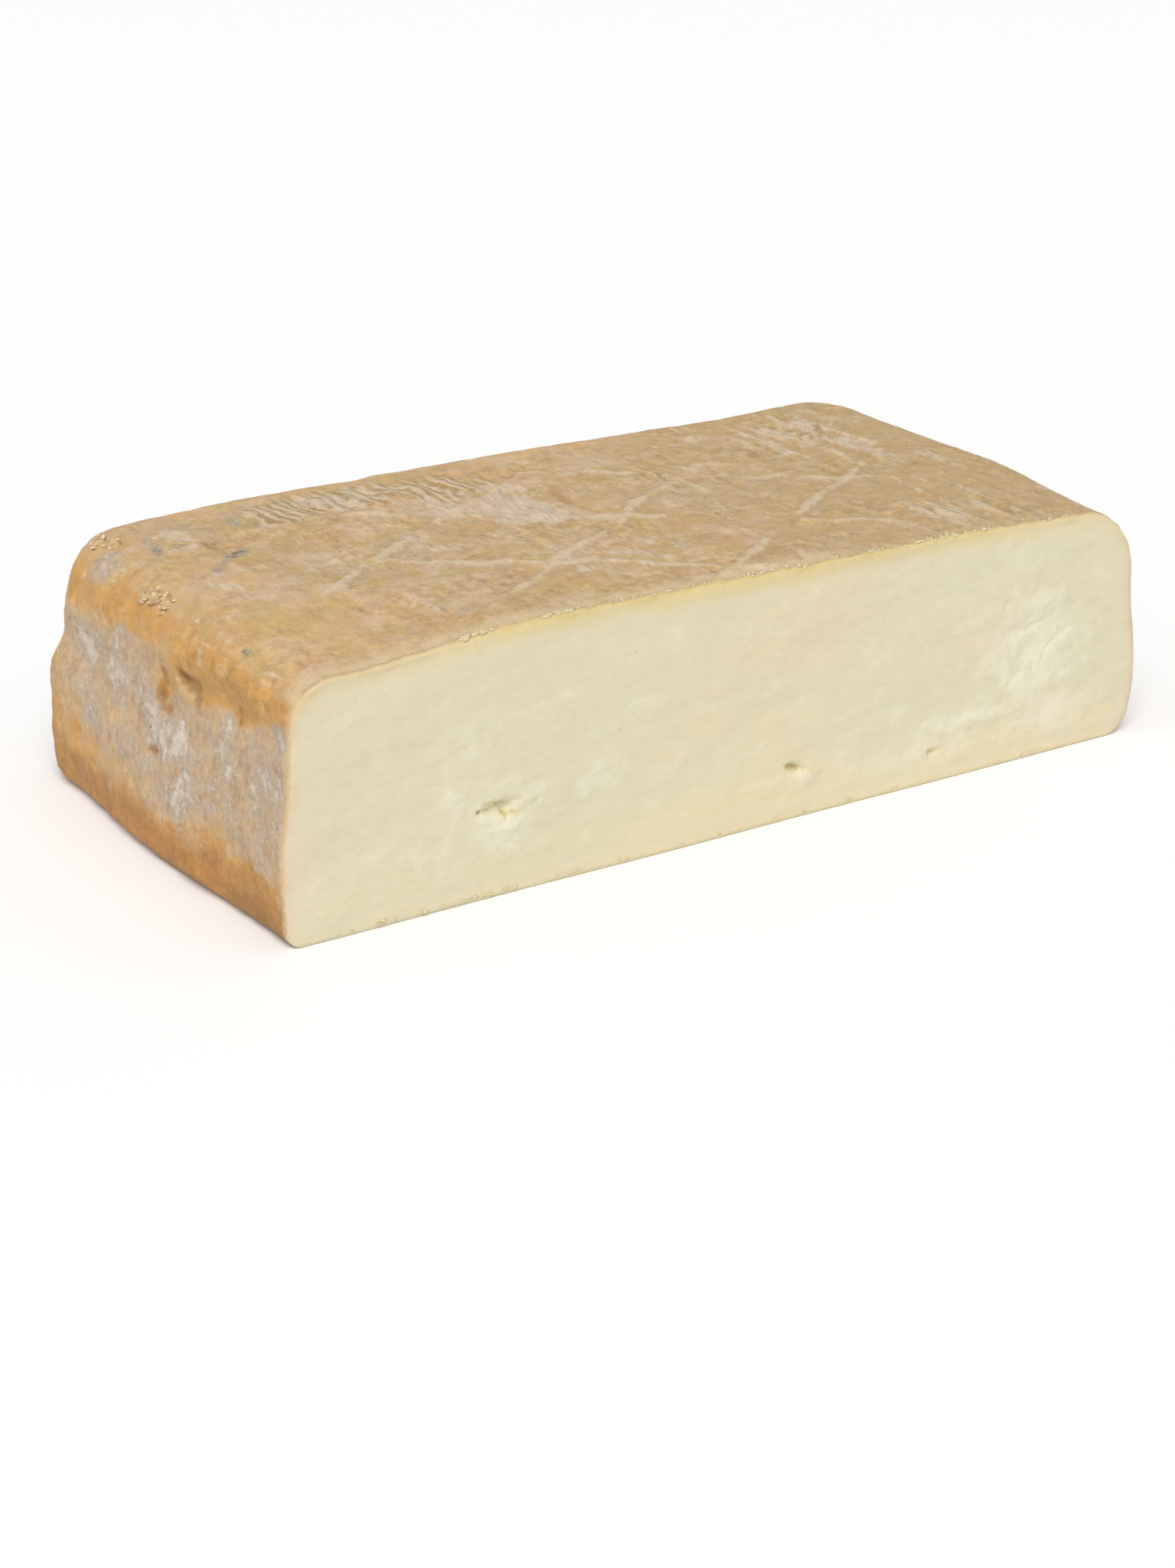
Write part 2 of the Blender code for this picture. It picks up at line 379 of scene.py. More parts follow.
# %% Dents of the end and eyes of the cut
LEFT_DENTS = (
    (-0.0155, 0.0380, 0.0050, 0.0042, -0.0013),
    (-0.0053, 0.0325, 0.0045, 0.0080, -0.0014),
    (-0.0028, 0.0212, 0.0040, 0.0040, -0.0008),
    (0.0280, 0.0320, 0.0100, 0.0110, -0.0008),
    (0.0420, 0.0310, 0.0250, 0.0060, -0.0005),
    (0.0420, 0.0235, 0.0250, 0.0060, 0.0007),
    (0.0420, 0.0150, 0.0250, 0.0060, -0.0004),
    (0.0420, 0.0455, 0.0250, 0.0070, -0.0006),
    (-0.0300, 0.0390, 0.0240, 0.0065, -0.0008),
    (-0.0320, 0.0465, 0.0300, 0.0050, 0.0005),
    (-0.0150, 0.0180, 0.0130, 0.0130, 0.0006),
    (0.0120, 0.0150, 0.0140, 0.0140, 0.0006),
    (-0.0050, 0.0020, 0.0400, 0.0160, 0.0012),
)
EYES = (
    (-0.0545, 0.0172, 0.0064, 0.0024, 0.0016, 5.0),
    (0.0120, 0.0100, 0.0042, 0.0020, 0.0012, -18.0),
    (0.0461, 0.0063, 0.0028, 0.0018, 0.0008, -8.0),
)
CUT_WAVE = 0.00025
WAVE_LONG = 0.0190
WAVE_TALL = 0.0125
WAVE_SLANT = 0.0110
CUT_REACH = 0.0030
CUT_EDGE = 0.0008
CUT_EDGE_LOW = 0.0004
TOP_SHARE = 0.25


def pile_up(height, u, v, hills, share=1.0):
    """Adds hills and hollows to a height; each is its middle, its two radii and its rise."""
    for middle_u, middle_v, radius_u, radius_v, rise in hills:
        height += rise * hill(u, v, middle_u, middle_v, radius_u, radius_v) * share
    return height


def end_relief(y, z):
    return pile_up(np.zeros_like(y), y, z, LEFT_DENTS)


def eyes(x, z, wider=1.0):
    """1 in the middle of each eye, 0 outside; each eye is a slanted oval."""
    found = []
    for middle_x, middle_z, half_width, half_height, depth, tilt in EYES:
        turn = math.radians(tilt)
        along = (x - middle_x) * math.cos(turn) + (z - middle_z) * math.sin(turn)
        up = (z - middle_z) * math.cos(turn) - (x - middle_x) * math.sin(turn)
        found.append((depth, hill(along, up, 0.0, 0.0, half_width * wider, half_height * wider)))
    return found


def cut_relief(x, z):
    crossed = np.sin(x / WAVE_LONG + 0.8) * np.sin(z / WAVE_TALL)
    slanted = np.sin((x - 2.2 * z) / WAVE_SLANT)
    deep = CUT_WAVE * (crossed + 0.5 * slanted)
    for depth, eye in eyes(x, z):
        deep += depth * eye
    return deep


print("eyes in the cut:", len(EYES))

# %% The knife's edge, and the whole form
def eased_cut_edge(x, y, z):
    """Takes the sharpness off the edge round the cut, while the block is still a box."""
    from_end, from_front = squared_to_round(HALF_LENGTH - np.abs(x), y - FRONT, CUT_EDGE)
    from_top, from_front = squared_to_round(HEIGHT - z, from_front, CUT_EDGE)
    low, from_front = squared_to_round(HEIGHT - from_top, from_front, CUT_EDGE_LOW)
    return np.sign(x) * (HALF_LENGTH - from_end), FRONT + from_front, low


def block_form(points):
    x0, y0, z0 = eased_cut_edge(*points.T)
    x, y, z = rounded_block(x0, y0, z0)
    near_end = 1.0 - ease(HALF_LENGTH - np.abs(x0), 0.0, SWELL_REACH)
    near_back = 1.0 - ease(BACK - y0, 0.0, SWELL_REACH)
    x = x + np.sign(x0) * near_end * end_swell(x0, y0, z0)
    y = y + near_back * back_swell(z0)
    x = x - np.where(x0 < 0.0, near_end, 0.0) * end_relief(y, z)
    z = z + ease(z0, HEIGHT * TOP_SHARE, HEIGHT) * top_relief(x, y)
    at_cut = 1.0 - ease(y0 - FRONT, 0.0, CUT_REACH)
    y = y + at_cut * cut_relief(x, z)
    return np.stack((x, y, z), axis=1)


def mesh_from(bm, name):
    mesh = bpy.data.meshes.new(name)
    bm.to_mesh(mesh)
    bm.free()
    return mesh


def point_places(mesh):
    places = np.empty(len(mesh.vertices) * 3, dtype=np.float32)
    mesh.vertices.foreach_get("co", places)
    return places.reshape(-1, 3).astype(float)


body_mesh = mesh_from(box, "cheese_body")
in_box = point_places(body_mesh)
in_mould = block_form(in_box)
node_low, node_high = (np.array(corner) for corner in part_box(NODE))
low, high = in_mould.min(axis=0), in_mould.max(axis=0)
to_part = (node_low + node_high - low - high) / 2
to_part[2] = node_low[2] - low[2]
placed = in_mould + to_part
print("moved by", (to_part * 1000.0).round(2), "mm; form", ((high - low) * 1000.0).round(2), "mm")

# %% [markdown]
# Maps of the skin
#
# The finish changes from place to place: bloom on the end, orange under the rim, brown in the dents.
# These could be painted on an image, but an image has to be drawn and kept. Here each is a map with
# one number a point, worked out from a few spots, and stored on the mesh as a named attribute, which
# the material then reads. The fine edges of each map come later, from noise in the material.

# %% Where each point of the block lies
def point_normals(mesh, places):
    mesh.vertices.foreach_set("co", places.astype(np.float32).ravel())
    mesh.update()
    normals = np.empty(len(mesh.vertices) * 3, dtype=np.float32)
    mesh.vertices.foreach_get("normal", normals)
    return normals.reshape(-1, 3).astype(float)


normals = point_normals(body_mesh, placed)
x_mm, y_mm, z_mm = (placed * 1000.0).T
on_cut = in_box[:, 1] < FRONT + TINY
ring = np.minimum(HALF_LENGTH - np.abs(in_box[:, 0]), np.minimum(in_box[:, 2], HEIGHT - in_box[:, 2]))
cut_edge = np.where(on_cut, -ring, in_box[:, 1] - FRONT) * 1000.0
rind_share = ease(cut_edge, 0.0, 2.5)
faces_up = ease(normals[:, 2], 0.45, 0.80) * rind_share
faces_left = ease(-normals[:, 0], 0.18, 0.50) * rind_share
faces_right = ease(normals[:, 0], 0.40, 0.75) * rind_share
faces_back = ease(normals[:, 1], 0.40, 0.75) * rind_share
print("points on the cut:", int(on_cut.sum()), "of", len(on_cut))

# %% Random hills, the same in every run
def rough(places, size, seed, octaves=2):
    """Smooth random hills about `size` wide, from about -1 to 1, one value a point."""
    start = Vector((seed * 17.31, seed * 5.77, seed * 9.13))
    scaled = places / size
    return np.array([noise.fractal(Vector(place) + start, 1.0, 2.0, octaves) for place in scaled])


broad = rough(placed, 0.020, 1)
medium = rough(placed, 0.0065, 2, octaves=3)
fine = rough(placed, 0.0024, 3)
print("hills:", [round(float(values.std()), 2) for values in (broad, medium, fine)])

# %% Spots and strokes on a flat map of one side
def patches(u, v, spots):
    """The highest of several hills; a spot is its middle, its two radii and its strength."""
    found = np.zeros_like(u)
    for middle_u, middle_v, radius_u, radius_v, strength in spots:
        found = np.maximum(found, strength * hill(u, v, middle_u, middle_v, radius_u, radius_v))
    return found


def strokes(u, v, lines, taper=1.0):
    """The highest of several ridges; a line is its two ends, its half width and its strength."""
    found = np.zeros_like(u)
    for u0, v0, u1, v1, half_width, strength in lines:
        long = math.hypot(u1 - u0, v1 - v0)
        along = ((u - u0) * (u1 - u0) + (v - v0) * (v1 - v0)) / long
        off = ((u - u0) * (v1 - v0) - (v - v0) * (u1 - u0)) / long
        ends = ease(along, -taper, taper) * (1.0 - ease(along, long - taper, long + taper))
        found = np.maximum(found, strength * ends * np.exp(-((off / half_width) ** 2)))
    return found


print("strength of a spot halfway to its rim:", round(float(hill(1.0, 0.0, 0.0, 0.0, 2.0, 2.0)), 2))

# %% Single ridges of the mat, in mm on the top
RIDGES = (
    (52.4, 36, 52.9, 16, 0.75, 0.5), (56.4, 37.5, 57.4, 6, 0.75, 0.9),
    (60.3, 36.5, 61, 12, 0.7, 0.7), (63.6, 37.5, 64.4, 4, 0.75, 0.9), (69, 38, 68.6, 15, 0.8, 1.2),
    (68.6, 15, 69.6, -3, 0.8, 1.1), (74.2, 36.5, 75.6, 8, 0.8, 1.1), (75.6, 8, 73.6, -2, 0.75, 0.7),
    (78.6, 32, 79.4, 10, 0.75, 0.6), (46.2, 34.5, 47, 25, 0.8, 0.6),
    (53.7, -26, 53, -48.5, 0.9, 1.1), (57.8, -20, 57, -47, 0.75, 0.8),
    (62.4, -14, 61.6, -48, 0.75, 0.9), (67.4, -8, 66.6, -46, 0.75, 0.8),
    (71.6, -8, 70.6, -48, 0.8, 0.9), (76.6, -10, 75.6, -46, 0.75, 0.7),
    (81, -6, 80.4, -34, 0.75, 0.5), (49.4, -30, 48.8, -46, 0.75, 0.6),
    (24.2, 14, 24.8, -1, 0.7, 0.6), (33.6, 20, 34.2, 6, 0.7, 0.5), (41.4, -14, 40.6, -28, 0.7, 0.5),
    (-46.4, 10, -46.8, -4, 0.7, 0.6), (-60.2, 2, -61.6, -14, 0.7, 0.8),
    (-66.2, 3, -66.4, -10, 0.7, 0.6), (-55.2, 6, -57.6, -8, 0.7, 0.6),
    (-46.2, -18, -45.4, -32, 0.7, 0.6), (-59.6, -24, -59, -38, 0.7, 0.5),
    (-20.4, 21, -18.6, 9, 0.75, 0.8), (-28.4, 20, -26, 7, 0.75, 0.8),
    (-12.6, 20, -16.4, 8, 0.75, 0.8), (-8.6, 21, -12.4, 10, 0.75, 0.7),
)
RIDGE_HEIGHT = 0.58
print("single ridges:", len(RIDGES))

# %% All that was pressed into the top, worn and a little crooked, and the painted shade beside it
def crooked(seed):
    """How far a pressed line strays sideways, in mm, as the soft curd moved after pressing."""
    return 1.6 * rough(placed, 0.024, seed) + 0.45 * rough(placed, 0.007, seed + 1)


stray_x, stray_y = crooked(41), crooked(43)
worn = np.clip(0.76 + 0.8 * broad + 0.5 * medium, 0.22, 1.10)
LATTICE_SHARPER = 1.6
flat_top = (1.0 - ease(np.abs(x_mm), 82.0, 92.0)) * (1.0 - ease(y_mm, 37.0, 45.0))


def pressed_height(shift_x=0.0, shift_y=0.0):
    """Height of the pressed marks in mm, at the points moved sideways by a few mm."""
    mould_x = (x_mm + stray_x + shift_x) / 1000.0 - to_part[0]
    mould_y = (y_mm + stray_y + shift_y) / 1000.0 - to_part[1]
    ridges = strokes(x_mm + stray_x * 0.4 + shift_x, y_mm + shift_y, RIDGES, taper=2.0)
    crossing = lattice(mould_x, mould_y) ** LATTICE_SHARPER * worn
    height = RIDGE_HEIGHT * ridges + LATTICE_HEIGHT * 1000.0 * crossing
    return (height + MAT_HEIGHT * 1000.0 * mat_waves(mould_x, mould_y)) * flat_top


# The crest map is the worn top of each pressed mark. The second map is painted shade: it is high where
# the mark, 0.3 mm along x and 1.5 mm along y from a point, stands higher than the point. So each mark
# gets a painted shadow on its front side.
CREST_MM = 0.50
RIDGE_SHADE_MM = 0.40
TO_RIDGE_SHADE = (0.3, 1.5)
pressed = pressed_height()
crest = np.clip(pressed / CREST_MM, 0.0, 1.0) ** 1.3 * faces_up
foot = np.clip((pressed_height(*TO_RIDGE_SHADE) - pressed) / RIDGE_SHADE_MM, 0.0, 1.0) * faces_up
print("pressed marks rise to", round(float(pressed.max()), 2), "mm")

# %% Spots and strokes of the left end: y and z in mm
BLOOM_END = (
    (-8, 25, 18, 14, 1.75), (-14, 16, 15, 10, 1.45), (-29, 25, 34, 20, 1), (-45, 30, 15, 18, 1.15),
    (-48, 36.5, 5, 3.5, 2), (-42, 17, 16, 11, 1.05), (-33, 12, 17, 7, 0.75), (21, 18, 22, 13, 0.55),
    (8, 31, 28, 16, 1.05), (29, 31, 15, 14, 1.2), (27, 31, 7, 7, 1.7), (5, 20, 20, 12, 0.8),
    (-3, 12, 12, 8, 0.55),
)
BARE_END = (
    (-29, 41.5, 26, 6.5, 1.4), (-13, 42, 9, 6, 1.3), (3, 46, 34, 7, 1), (26, 42, 18, 6, 1.3),
    (30, 10, 26, 10, 0.55), (48, 24, 8, 26, 1.2), (-5, 33.5, 6, 8, 0.6),
    (-31.5, 37.5, 4.6, 5, 0.65), (-17, 37, 9, 5, 0.8), (-26, 19.5, 7.5, 1.8, 0.5),
    (13.4, 23, 5, 3.6, 0.45), (-1.5, 21.2, 4, 2.4, 0.7), (-4.5, 17, 5, 3, 0.35),
)
# Orange spots of the end. The strongest, under the overhanging lip and along the base, turn deep gold in
# the material: partly the rind's orange, partly painted shade.
ORANGE_END = (
    (-29, 41.5, 27, 10, 2.6), (-46, 40.5, 12, 8, 2.2), (-13, 41, 9, 7, 1.5), (6, 45, 30, 8, 1.3),
    (30, 43, 20, 8, 1.5), (50, 25, 10, 32, 2.1), (34, 10, 26, 13, 0.8), (-10, 1, 60, 12, 2),
    (-5, 33, 5, 8, 0.8), (-31.6, 36.6, 4, 5, 1.1), (-26, 19.5, 8, 2.2, 0.8),
    (13.4, 23, 4.6, 3.4, 0.6), (-1, 21.2, 4.5, 2.8, 1.1), (-4.5, 17, 5, 3.2, 0.8),
    (-38, 8, 24, 11, 1.8),
)
# Brown of the end, in its dents, its notch and along its base: partly the rind's own brown, partly
# painted shade in the hollows and next to the floor.
BROWN_END = (
    (-14.6, 37.6, 4.4, 2.8, 1.2), (-12, 38.9, 5, 2.2, 0.7), (-19, 34.2, 3.6, 2.6, 0.62),
    (-31.6, 36.2, 3, 4.6, 0.5), (-5.2, 30, 4.2, 2.6, 0.85), (-3.6, 31.6, 2.6, 4.6, 0.68),
    (-5.2, 35.6, 2.6, 4.6, 0.52), (-2.2, 21.2, 3.2, 2.6, 0.7), (-2.4, 21.1, 1.7, 1.5, 1.6),
    (-42, 2, 26, 9, 0.8), (-10, 0.5, 40, 6, 0.7),
)
BROWN_STROKES = (
    (-11.5, 39.5, -15.6, 37.4, 1.1, 1.5), (-15.6, 37.4, -19.4, 34.2, 1.6, 0.8),
    (-5.4, 37.8, -4.6, 34, 1.4, 0.9), (-4.6, 34, -3.4, 30.6, 1.6, 1.1),
    (-30.9, 38.4, -31.9, 34, 1.4, 0.7), (-22, 19.8, -30.6, 19.3, 0.8, 0.5),
    (-36, 12.5, -40, 10.5, 0.9, 0.6),
)
END_GROOVES = ((-12.2, 39.2, -16.6, 36.8, 1.2, 0.25), (-30.7, 38, -31.9, 33.6, 1.5, 0.25))
END_FORMS = (
    (-6.7, 30.6, 3.4, 3.8, -0.35), (-2.4, 21.1, 2.6, 2.4, -0.6), (-30, 37, 22, 4.5, -0.5),
    (-32, 43.5, 30, 5.5, 0.45), (-19.5, 3.6, 9.5, 2.2, 0.8), (-11, 34.5, 5, 7, 0.3),
    (-14.5, 39.5, 5, 4, 0.55),
)
print("spots on the end:", len(BLOOM_END) + len(BARE_END) + len(ORANGE_END) + len(BROWN_END))

# %% Spots and strokes of the top: x and y in mm
BLOOM_CORNER = ((-93.2, 26, 5, 8.5, 0.85),)
PALE_TOP = (
    (-15, 6, 17, 22, 1.35), (-44, 31, 22, 9, 0.9), (-27, 17, 8, 13, 1), (-10, 20, 8, 8, 1.4),
    (-41, 0, 8, 12, 0.8), (-16, -26, 26, 22, 0.65), (-77, 29, 8, 7, 1.2), (-81, 21, 6, 6, 1),
    (-84.5, -5, 4.5, 11, 1.1), (56, 18, 8, 22, 0.7), (72, 9, 5, 17, 1.9), (72, 29, 7, 10, 0.9),
    (63, 28, 6, 14, 0.9), (81, -2, 6, 10, 0.8), (45, 31, 5, 5, 0.8), (35, 12, 18, 9, 0.55),
    (53.5, -38, 4, 13, 0.8), (12, 25, 9, 5, 0.7),
)
HATCHED = (
    (-56, 30, 18, 12, 1.7), (-38, 31, 20, 12, 1.9), (-20, 27, 16, 15, 1.6), (70, 24, 15, 18, 1),
    (57, -37, 14, 17, 0.9), (25, 14, 14, 14, 0.6),
)
MOULD_STROKES = (
    (-82.6, 3.2, -76.2, 9.7, 1.1, 1), (-76.2, 9.7, -70.6, 14, 1.5, 1.4),
    (-85.6, 19, -82.6, 31.5, 1.3, 1), (-64.9, 35.2, -65.3, 26, 1.1, 0.9),
    (-77.5, 32.9, -71.6, 34.6, 1, 0.7), (-73.6, -18, -74, -12, 1, 0.6),
    (-93, -28, -93.6, -30.8, 0.7, 1.5),
)
RUST_STROKES = (
    (-0.7, 17.5, -3.2, 4.8, 1.5, 1.1), (-3.2, 4.8, -2.5, -2.5, 1.1, 0.8),
    (13.7, -22, 18.7, -26, 1.4, 0.5),
)
print("spots on the top:", len(PALE_TOP) + len(BLOOM_CORNER), "and strokes:", len(MOULD_STROKES))

# %% Spots and strokes of the cut: x and z in mm
CHALK = (
    (70.3, 24, 25, 23, 1.1), (76, 9, 28, 11, 0.9), (40, 7, 34, 7, 0.6), (-53.4, 13.2, 5, 3.5, 1.5),
    (-54, 12.5, 11, 7, 1.25), (-55.7, 16, 19, 12, 0.8), (-64.5, 21, 6, 5, 0.9),
    (-33.7, 18.5, 10, 8, 0.85), (54, 11.6, 27, 4, 1), (12.9, 8, 6, 4, 1.1),
    (-68.7, 11, 16, 9, 0.65), (-60.7, 31, 14, 8, 0.4),
)
CREASES = (
    (79.9, 26.4, 75.8, 24.8, 0.55, 1), (75.8, 24.8, 73.2, 22.6, 0.6, 1.2),
    (73.2, 22.6, 72.7, 19.6, 0.6, 1.2), (64.5, 28.4, 67.3, 27.9, 0.5, 1),
    (67.3, 27.9, 72.3, 29, 0.5, 0.9), (62.9, 34.8, 61.1, 32, 0.6, 0.7),
    (64.4, 27.5, 63.5, 26.1, 0.5, 0.8), (63.5, 26.1, 64.6, 22.4, 0.6, 0.7),
    (75, 31, 75.2, 27, 0.7, 0.5), (68.2, 19.4, 65.3, 17.7, 0.6, 1),
    (65.3, 17.7, 63.9, 15.8, 0.6, 1), (61.6, 18.2, 57.4, 19.3, 0.6, 0.5),
    (48.9, 30.3, 50.5, 27.4, 0.8, 0.4), (50.5, 27.4, 50.2, 23.5, 0.8, 0.4),
    (-52.3, 10.8, -54.9, 10, 0.5, 0.6), (-54.9, 10, -55.9, 8.4, 0.5, 0.5),
    (-37.3, 20, -35.7, 18.6, 0.5, 0.7), (-34, 19.2, -32.5, 17, 0.5, 0.5),
    (-65.7, 20.2, -62.2, 22.6, 0.7, 0.5), (-67.2, 33.2, -65.6, 33.5, 0.4, 0.8),
    (-56.5, 30.6, -54.9, 28.4, 0.5, 0.5), (46.3, 37.3, 47.9, 37, 0.4, 0.9),
)
MOUTHS = (
    (-59.9, 16.9, -58.8, 17.3, 0.4, 1.25), (-58.8, 17.3, -56.6, 16.8, 0.38, 0.65),
    (-58.8, 18.4, -54.4, 17.5, 0.9, 0.42), (-55.4, 16.5, -51.2, 15.4, 1.1, 0.4),
    (-54.9, 16.4, -53.3, 15.4, 0.42, 1.05), (-53.9, 15.9, -54, 14.7, 0.42, 0.95),
    (-53.2, 16, -51.7, 15.7, 0.38, 0.85), (-52.6, 18.5, -50.6, 18.1, 0.65, 0.32),
    (-50.6, 17.6, -47.2, 16.9, 0.7, 0.28), (9.3, 10.9, 12.7, 9.7, 0.5, 0.95),
    (12.7, 9.7, 14.1, 9.5, 0.4, 0.6), (44.5, 6.5, 46.2, 6.2, 0.4, 0.7),
)
EYE_FILLS = (
    (-50.8, 17.8, 4, 2.4, 0.9), (-53.6, 13.4, 3.4, 2, 0.45), (-57, 15.6, 3, 1.4, 0.3),
)
NICK = ((-59.1, 0.4, -59.1, 4, 0.28, 1),)
print("strokes on the cut:", len(CREASES) + len(MOUTHS) + len(NICK))

# %% Bloom, and scattered spots for the sides that are not seen
def scattered(seed, count, spread_u, low_v, high_v):
    """Spots in random places on a side that is not seen, of the sizes that the seen end has."""
    drawn = random.Random(seed)
    spots = []
    for _ in range(count):
        u = drawn.uniform(-spread_u, spread_u)
        v = drawn.uniform(low_v, high_v)
        radii = (drawn.uniform(14.0, 26.0), drawn.uniform(9.0, 15.0))
        spots.append((u, v, *radii, drawn.uniform(0.7, 1.2)))
    return spots


ragged_z = z_mm + 6.0 * broad + 5.0 * medium
bare = np.maximum(patches(y_mm, z_mm, BARE_END), 1.2 * (1.0 - ease(ragged_z, 5.0, 14.0)))
bloom = (patches(y_mm, z_mm, BLOOM_END) - bare) * faces_left
bloom = np.maximum(bloom, patches(x_mm, y_mm, BLOOM_CORNER) * (1.0 - ease(x_mm, -90.0, -86.0)))
bloom += patches(x_mm, z_mm, scattered(21, 12, 84.0, 18.0, 34.0)) * faces_back
bloom += patches(y_mm, z_mm, scattered(22, 7, 42.0, 18.0, 34.0)) * faces_right
print("share of the skin under bloom:", round(float((bloom > 0.3).mean()), 2))

# %% Orange edges and the dark foot, both partly painted shade, and the lip at the cut
top_edge_band = ease(z_mm, 37.0, 44.0) * (1.0 - faces_up) * (faces_back + faces_right)
foot_band = (1.0 - ease(z_mm, 3.0, 10.0)) * (faces_back + faces_right)
outer = np.maximum(ease(np.abs(x_mm), 66.0, 94.0), ease(y_mm, 30.0, 47.0))
outer *= 1.0 - 0.5 * ease(x_mm, 0.0, 60.0)
front_left = hill(x_mm, y_mm, -84.0, -34.0, 38.0, 40.0)
orange = patches(y_mm, z_mm, ORANGE_END) * faces_left + 0.8 * top_edge_band + 0.7 * foot_band
orange += np.maximum(0.90 * outer, 1.10 * front_left) * faces_up
orange += 1.6 * ease(y_mm, 38.0, 47.0) * (1.0 - ease(x_mm, -92.0, -80.0)) * (1.0 - faces_up)
# Darker amber towards the base of the sides: partly the rind's own colour, partly painted shade and
# painted reflected orange light at the foot.
low_band = 1.0 - ease(z_mm, 3.0, 17.0)
lip = (1.0 - ease(cut_edge, 0.8, 9.5)) * (0.60 + 0.60 * (1.0 - ease(x_mm, 5.0, 40.0))) * faces_up
lip += 0.8 * (1.0 - ease(cut_edge, 0.5, 3.0)) * ease(-normals[:, 0], 0.40, 0.75)
print("share of the skin with orange:", round(float((orange > 0.5).mean()), 2))

# %% Spots and strokes as maps, and the way from the paste to the rind
hatch = patches(x_mm, y_mm, HATCHED) * faces_up
brown_on_end = np.maximum(patches(y_mm, z_mm, BROWN_END), strokes(y_mm, z_mm, BROWN_STROKES))
brown_on_back = 0.2 * patches(x_mm, z_mm, scattered(23, 8, 86.0, 14.0, 40.0))
brown = brown_on_end * faces_left + brown_on_back * faces_back
rust = strokes(x_mm, y_mm, RUST_STROKES, taper=2.5) * faces_up
pale = patches(x_mm, y_mm, PALE_TOP) * faces_up
mould = strokes(x_mm, y_mm, MOULD_STROKES) * faces_up
chalk = patches(x_mm, z_mm, CHALK) * on_cut
mouths = strokes(x_mm, z_mm, MOUTHS, taper=0.5) * on_cut
nick = strokes(x_mm, z_mm, NICK, taper=0.3) * on_cut
rim_on_top = ease(z_mm, 38.0, 46.0)
rim_at_base = 1.0 - ease(z_mm, 1.0, 3.5)
straw_rim = rim_on_top * (0.40 + 0.60 * ease(x_mm, -92.0, -50.0))
straw_rim *= 1.0 - 0.5 * ease(x_mm, 45.0, 85.0)
paste_to_rind = cut_edge - 0.5 * rim_on_top - 0.8 * rim_at_base
print("paste to rind in mm:", round(float(paste_to_rind.min()), 1), round(float(paste_to_rind.max()), 1))

# %% [markdown]
# Relief of the skin
#
# The packed model stops at forms of a few millimetres. The finer ones are added here by moving each
# point a little along its own normal: wrinkles of the rind, the pressed marks, the lip of rind over
# the end, torn mouths of the eyes and creases of the chalky core. Most moves are a few tenths of a
# millimetre and the largest about one, so the block keeps its size. They fade out at the flat base.

# %% Relief along the normals, in mm
def rind_relief():
    """Relief of the rind; each number is the height in mm of one kind of unevenness."""
    rise = (0.26 * broad + 0.28 * medium) * (0.35 + 0.65 * np.maximum(flat_top, faces_left))
    rise += 0.09 * fine + pressed * faces_up
    rise += faces_left * (0.10 * medium + 0.06 * fine - strokes(y_mm, z_mm, END_GROOVES))
    pile_up(rise, y_mm, z_mm, END_FORMS, share=faces_left)
    return rise - 0.35 * rust - 0.25 * mould


def cut_face_relief():
    """Relief of the cut: knife drag, chalky lumps, creases, and the torn mouths of the eyes."""
    dragged = placed * np.array([0.35, 1.0, 1.0])
    dragged += placed[:, [2, 0, 0]] * np.array([-0.25, 0.0, -0.12])
    drag = rough(dragged, 0.0060, 31, octaves=3)
    knife = np.sin(z_mm / 1.9 + x_mm / 26.0 + 1.5 * broad)
    lumps = np.abs(rough(placed, 0.0095, 5)) - 0.25
    small_lumps = np.abs(rough(placed, 0.0030, 6)) - 0.25
    rise = 0.30 * broad + 0.24 * drag + 0.02 * knife + 0.10 * medium + 0.02 * fine
    rise -= chalk * (0.70 * lumps + 0.14 * small_lumps)
    rise -= 0.32 * strokes(x_mm + 0.5 * medium, z_mm + 0.5 * fine, CREASES, taper=1.2)
    pile_up(rise, x_mm, z_mm, EYE_FILLS)
    return rise - 0.60 * mouths - 0.4 * nick - 0.5 * eye_walls * small_lumps


eye_walls = sum(eye for _, eye in eyes(placed[:, 0] - to_part[0], placed[:, 2], wider=1.3))
tearing = 0.25 + 0.75 * np.maximum(rim_on_top, rim_at_base)
ragged = (0.28 * fine + 0.22 * medium) * (1.0 - ease(np.abs(cut_edge), 0.0, 1.6)) * tearing
rise = np.where(on_cut, cut_face_relief(), rind_relief()) * ease(np.abs(cut_edge), 0.0, 1.6) + ragged
rise *= ease(z_mm, 0.2, 2.4)
finished = placed + normals * rise[:, None] / 1000.0
finished[:, 2] = np.maximum(finished[:, 2], node_low[2])
print("relief in mm, lowest and highest:", round(float(rise.min()), 2), round(float(rise.max()), 2))

# %% The finished body
MAPS = dict(
    paste_to_rind=paste_to_rind, crest=crest, foot=foot, bloom=bloom, orange=orange, brown=brown,
    rust=rust, pale=pale, mould=mould, chalk=chalk, mouth=mouths + 0.5 * nick, low_band=low_band,
    lip=lip, hatch=hatch, rim_at_base=rim_at_base, on_top=ease(normals[:, 2], 0.45, 0.80),
    straw_rim=straw_rim,
)


def finish_piece(mesh, material):
    """Makes a piece of a mesh, smooth, with its material, riding on the cheese."""
    mesh.shade_smooth()
    mesh.materials.append(material)
    piece = in_scene(mesh.name, mesh)
    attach(piece, "root")
    return piece


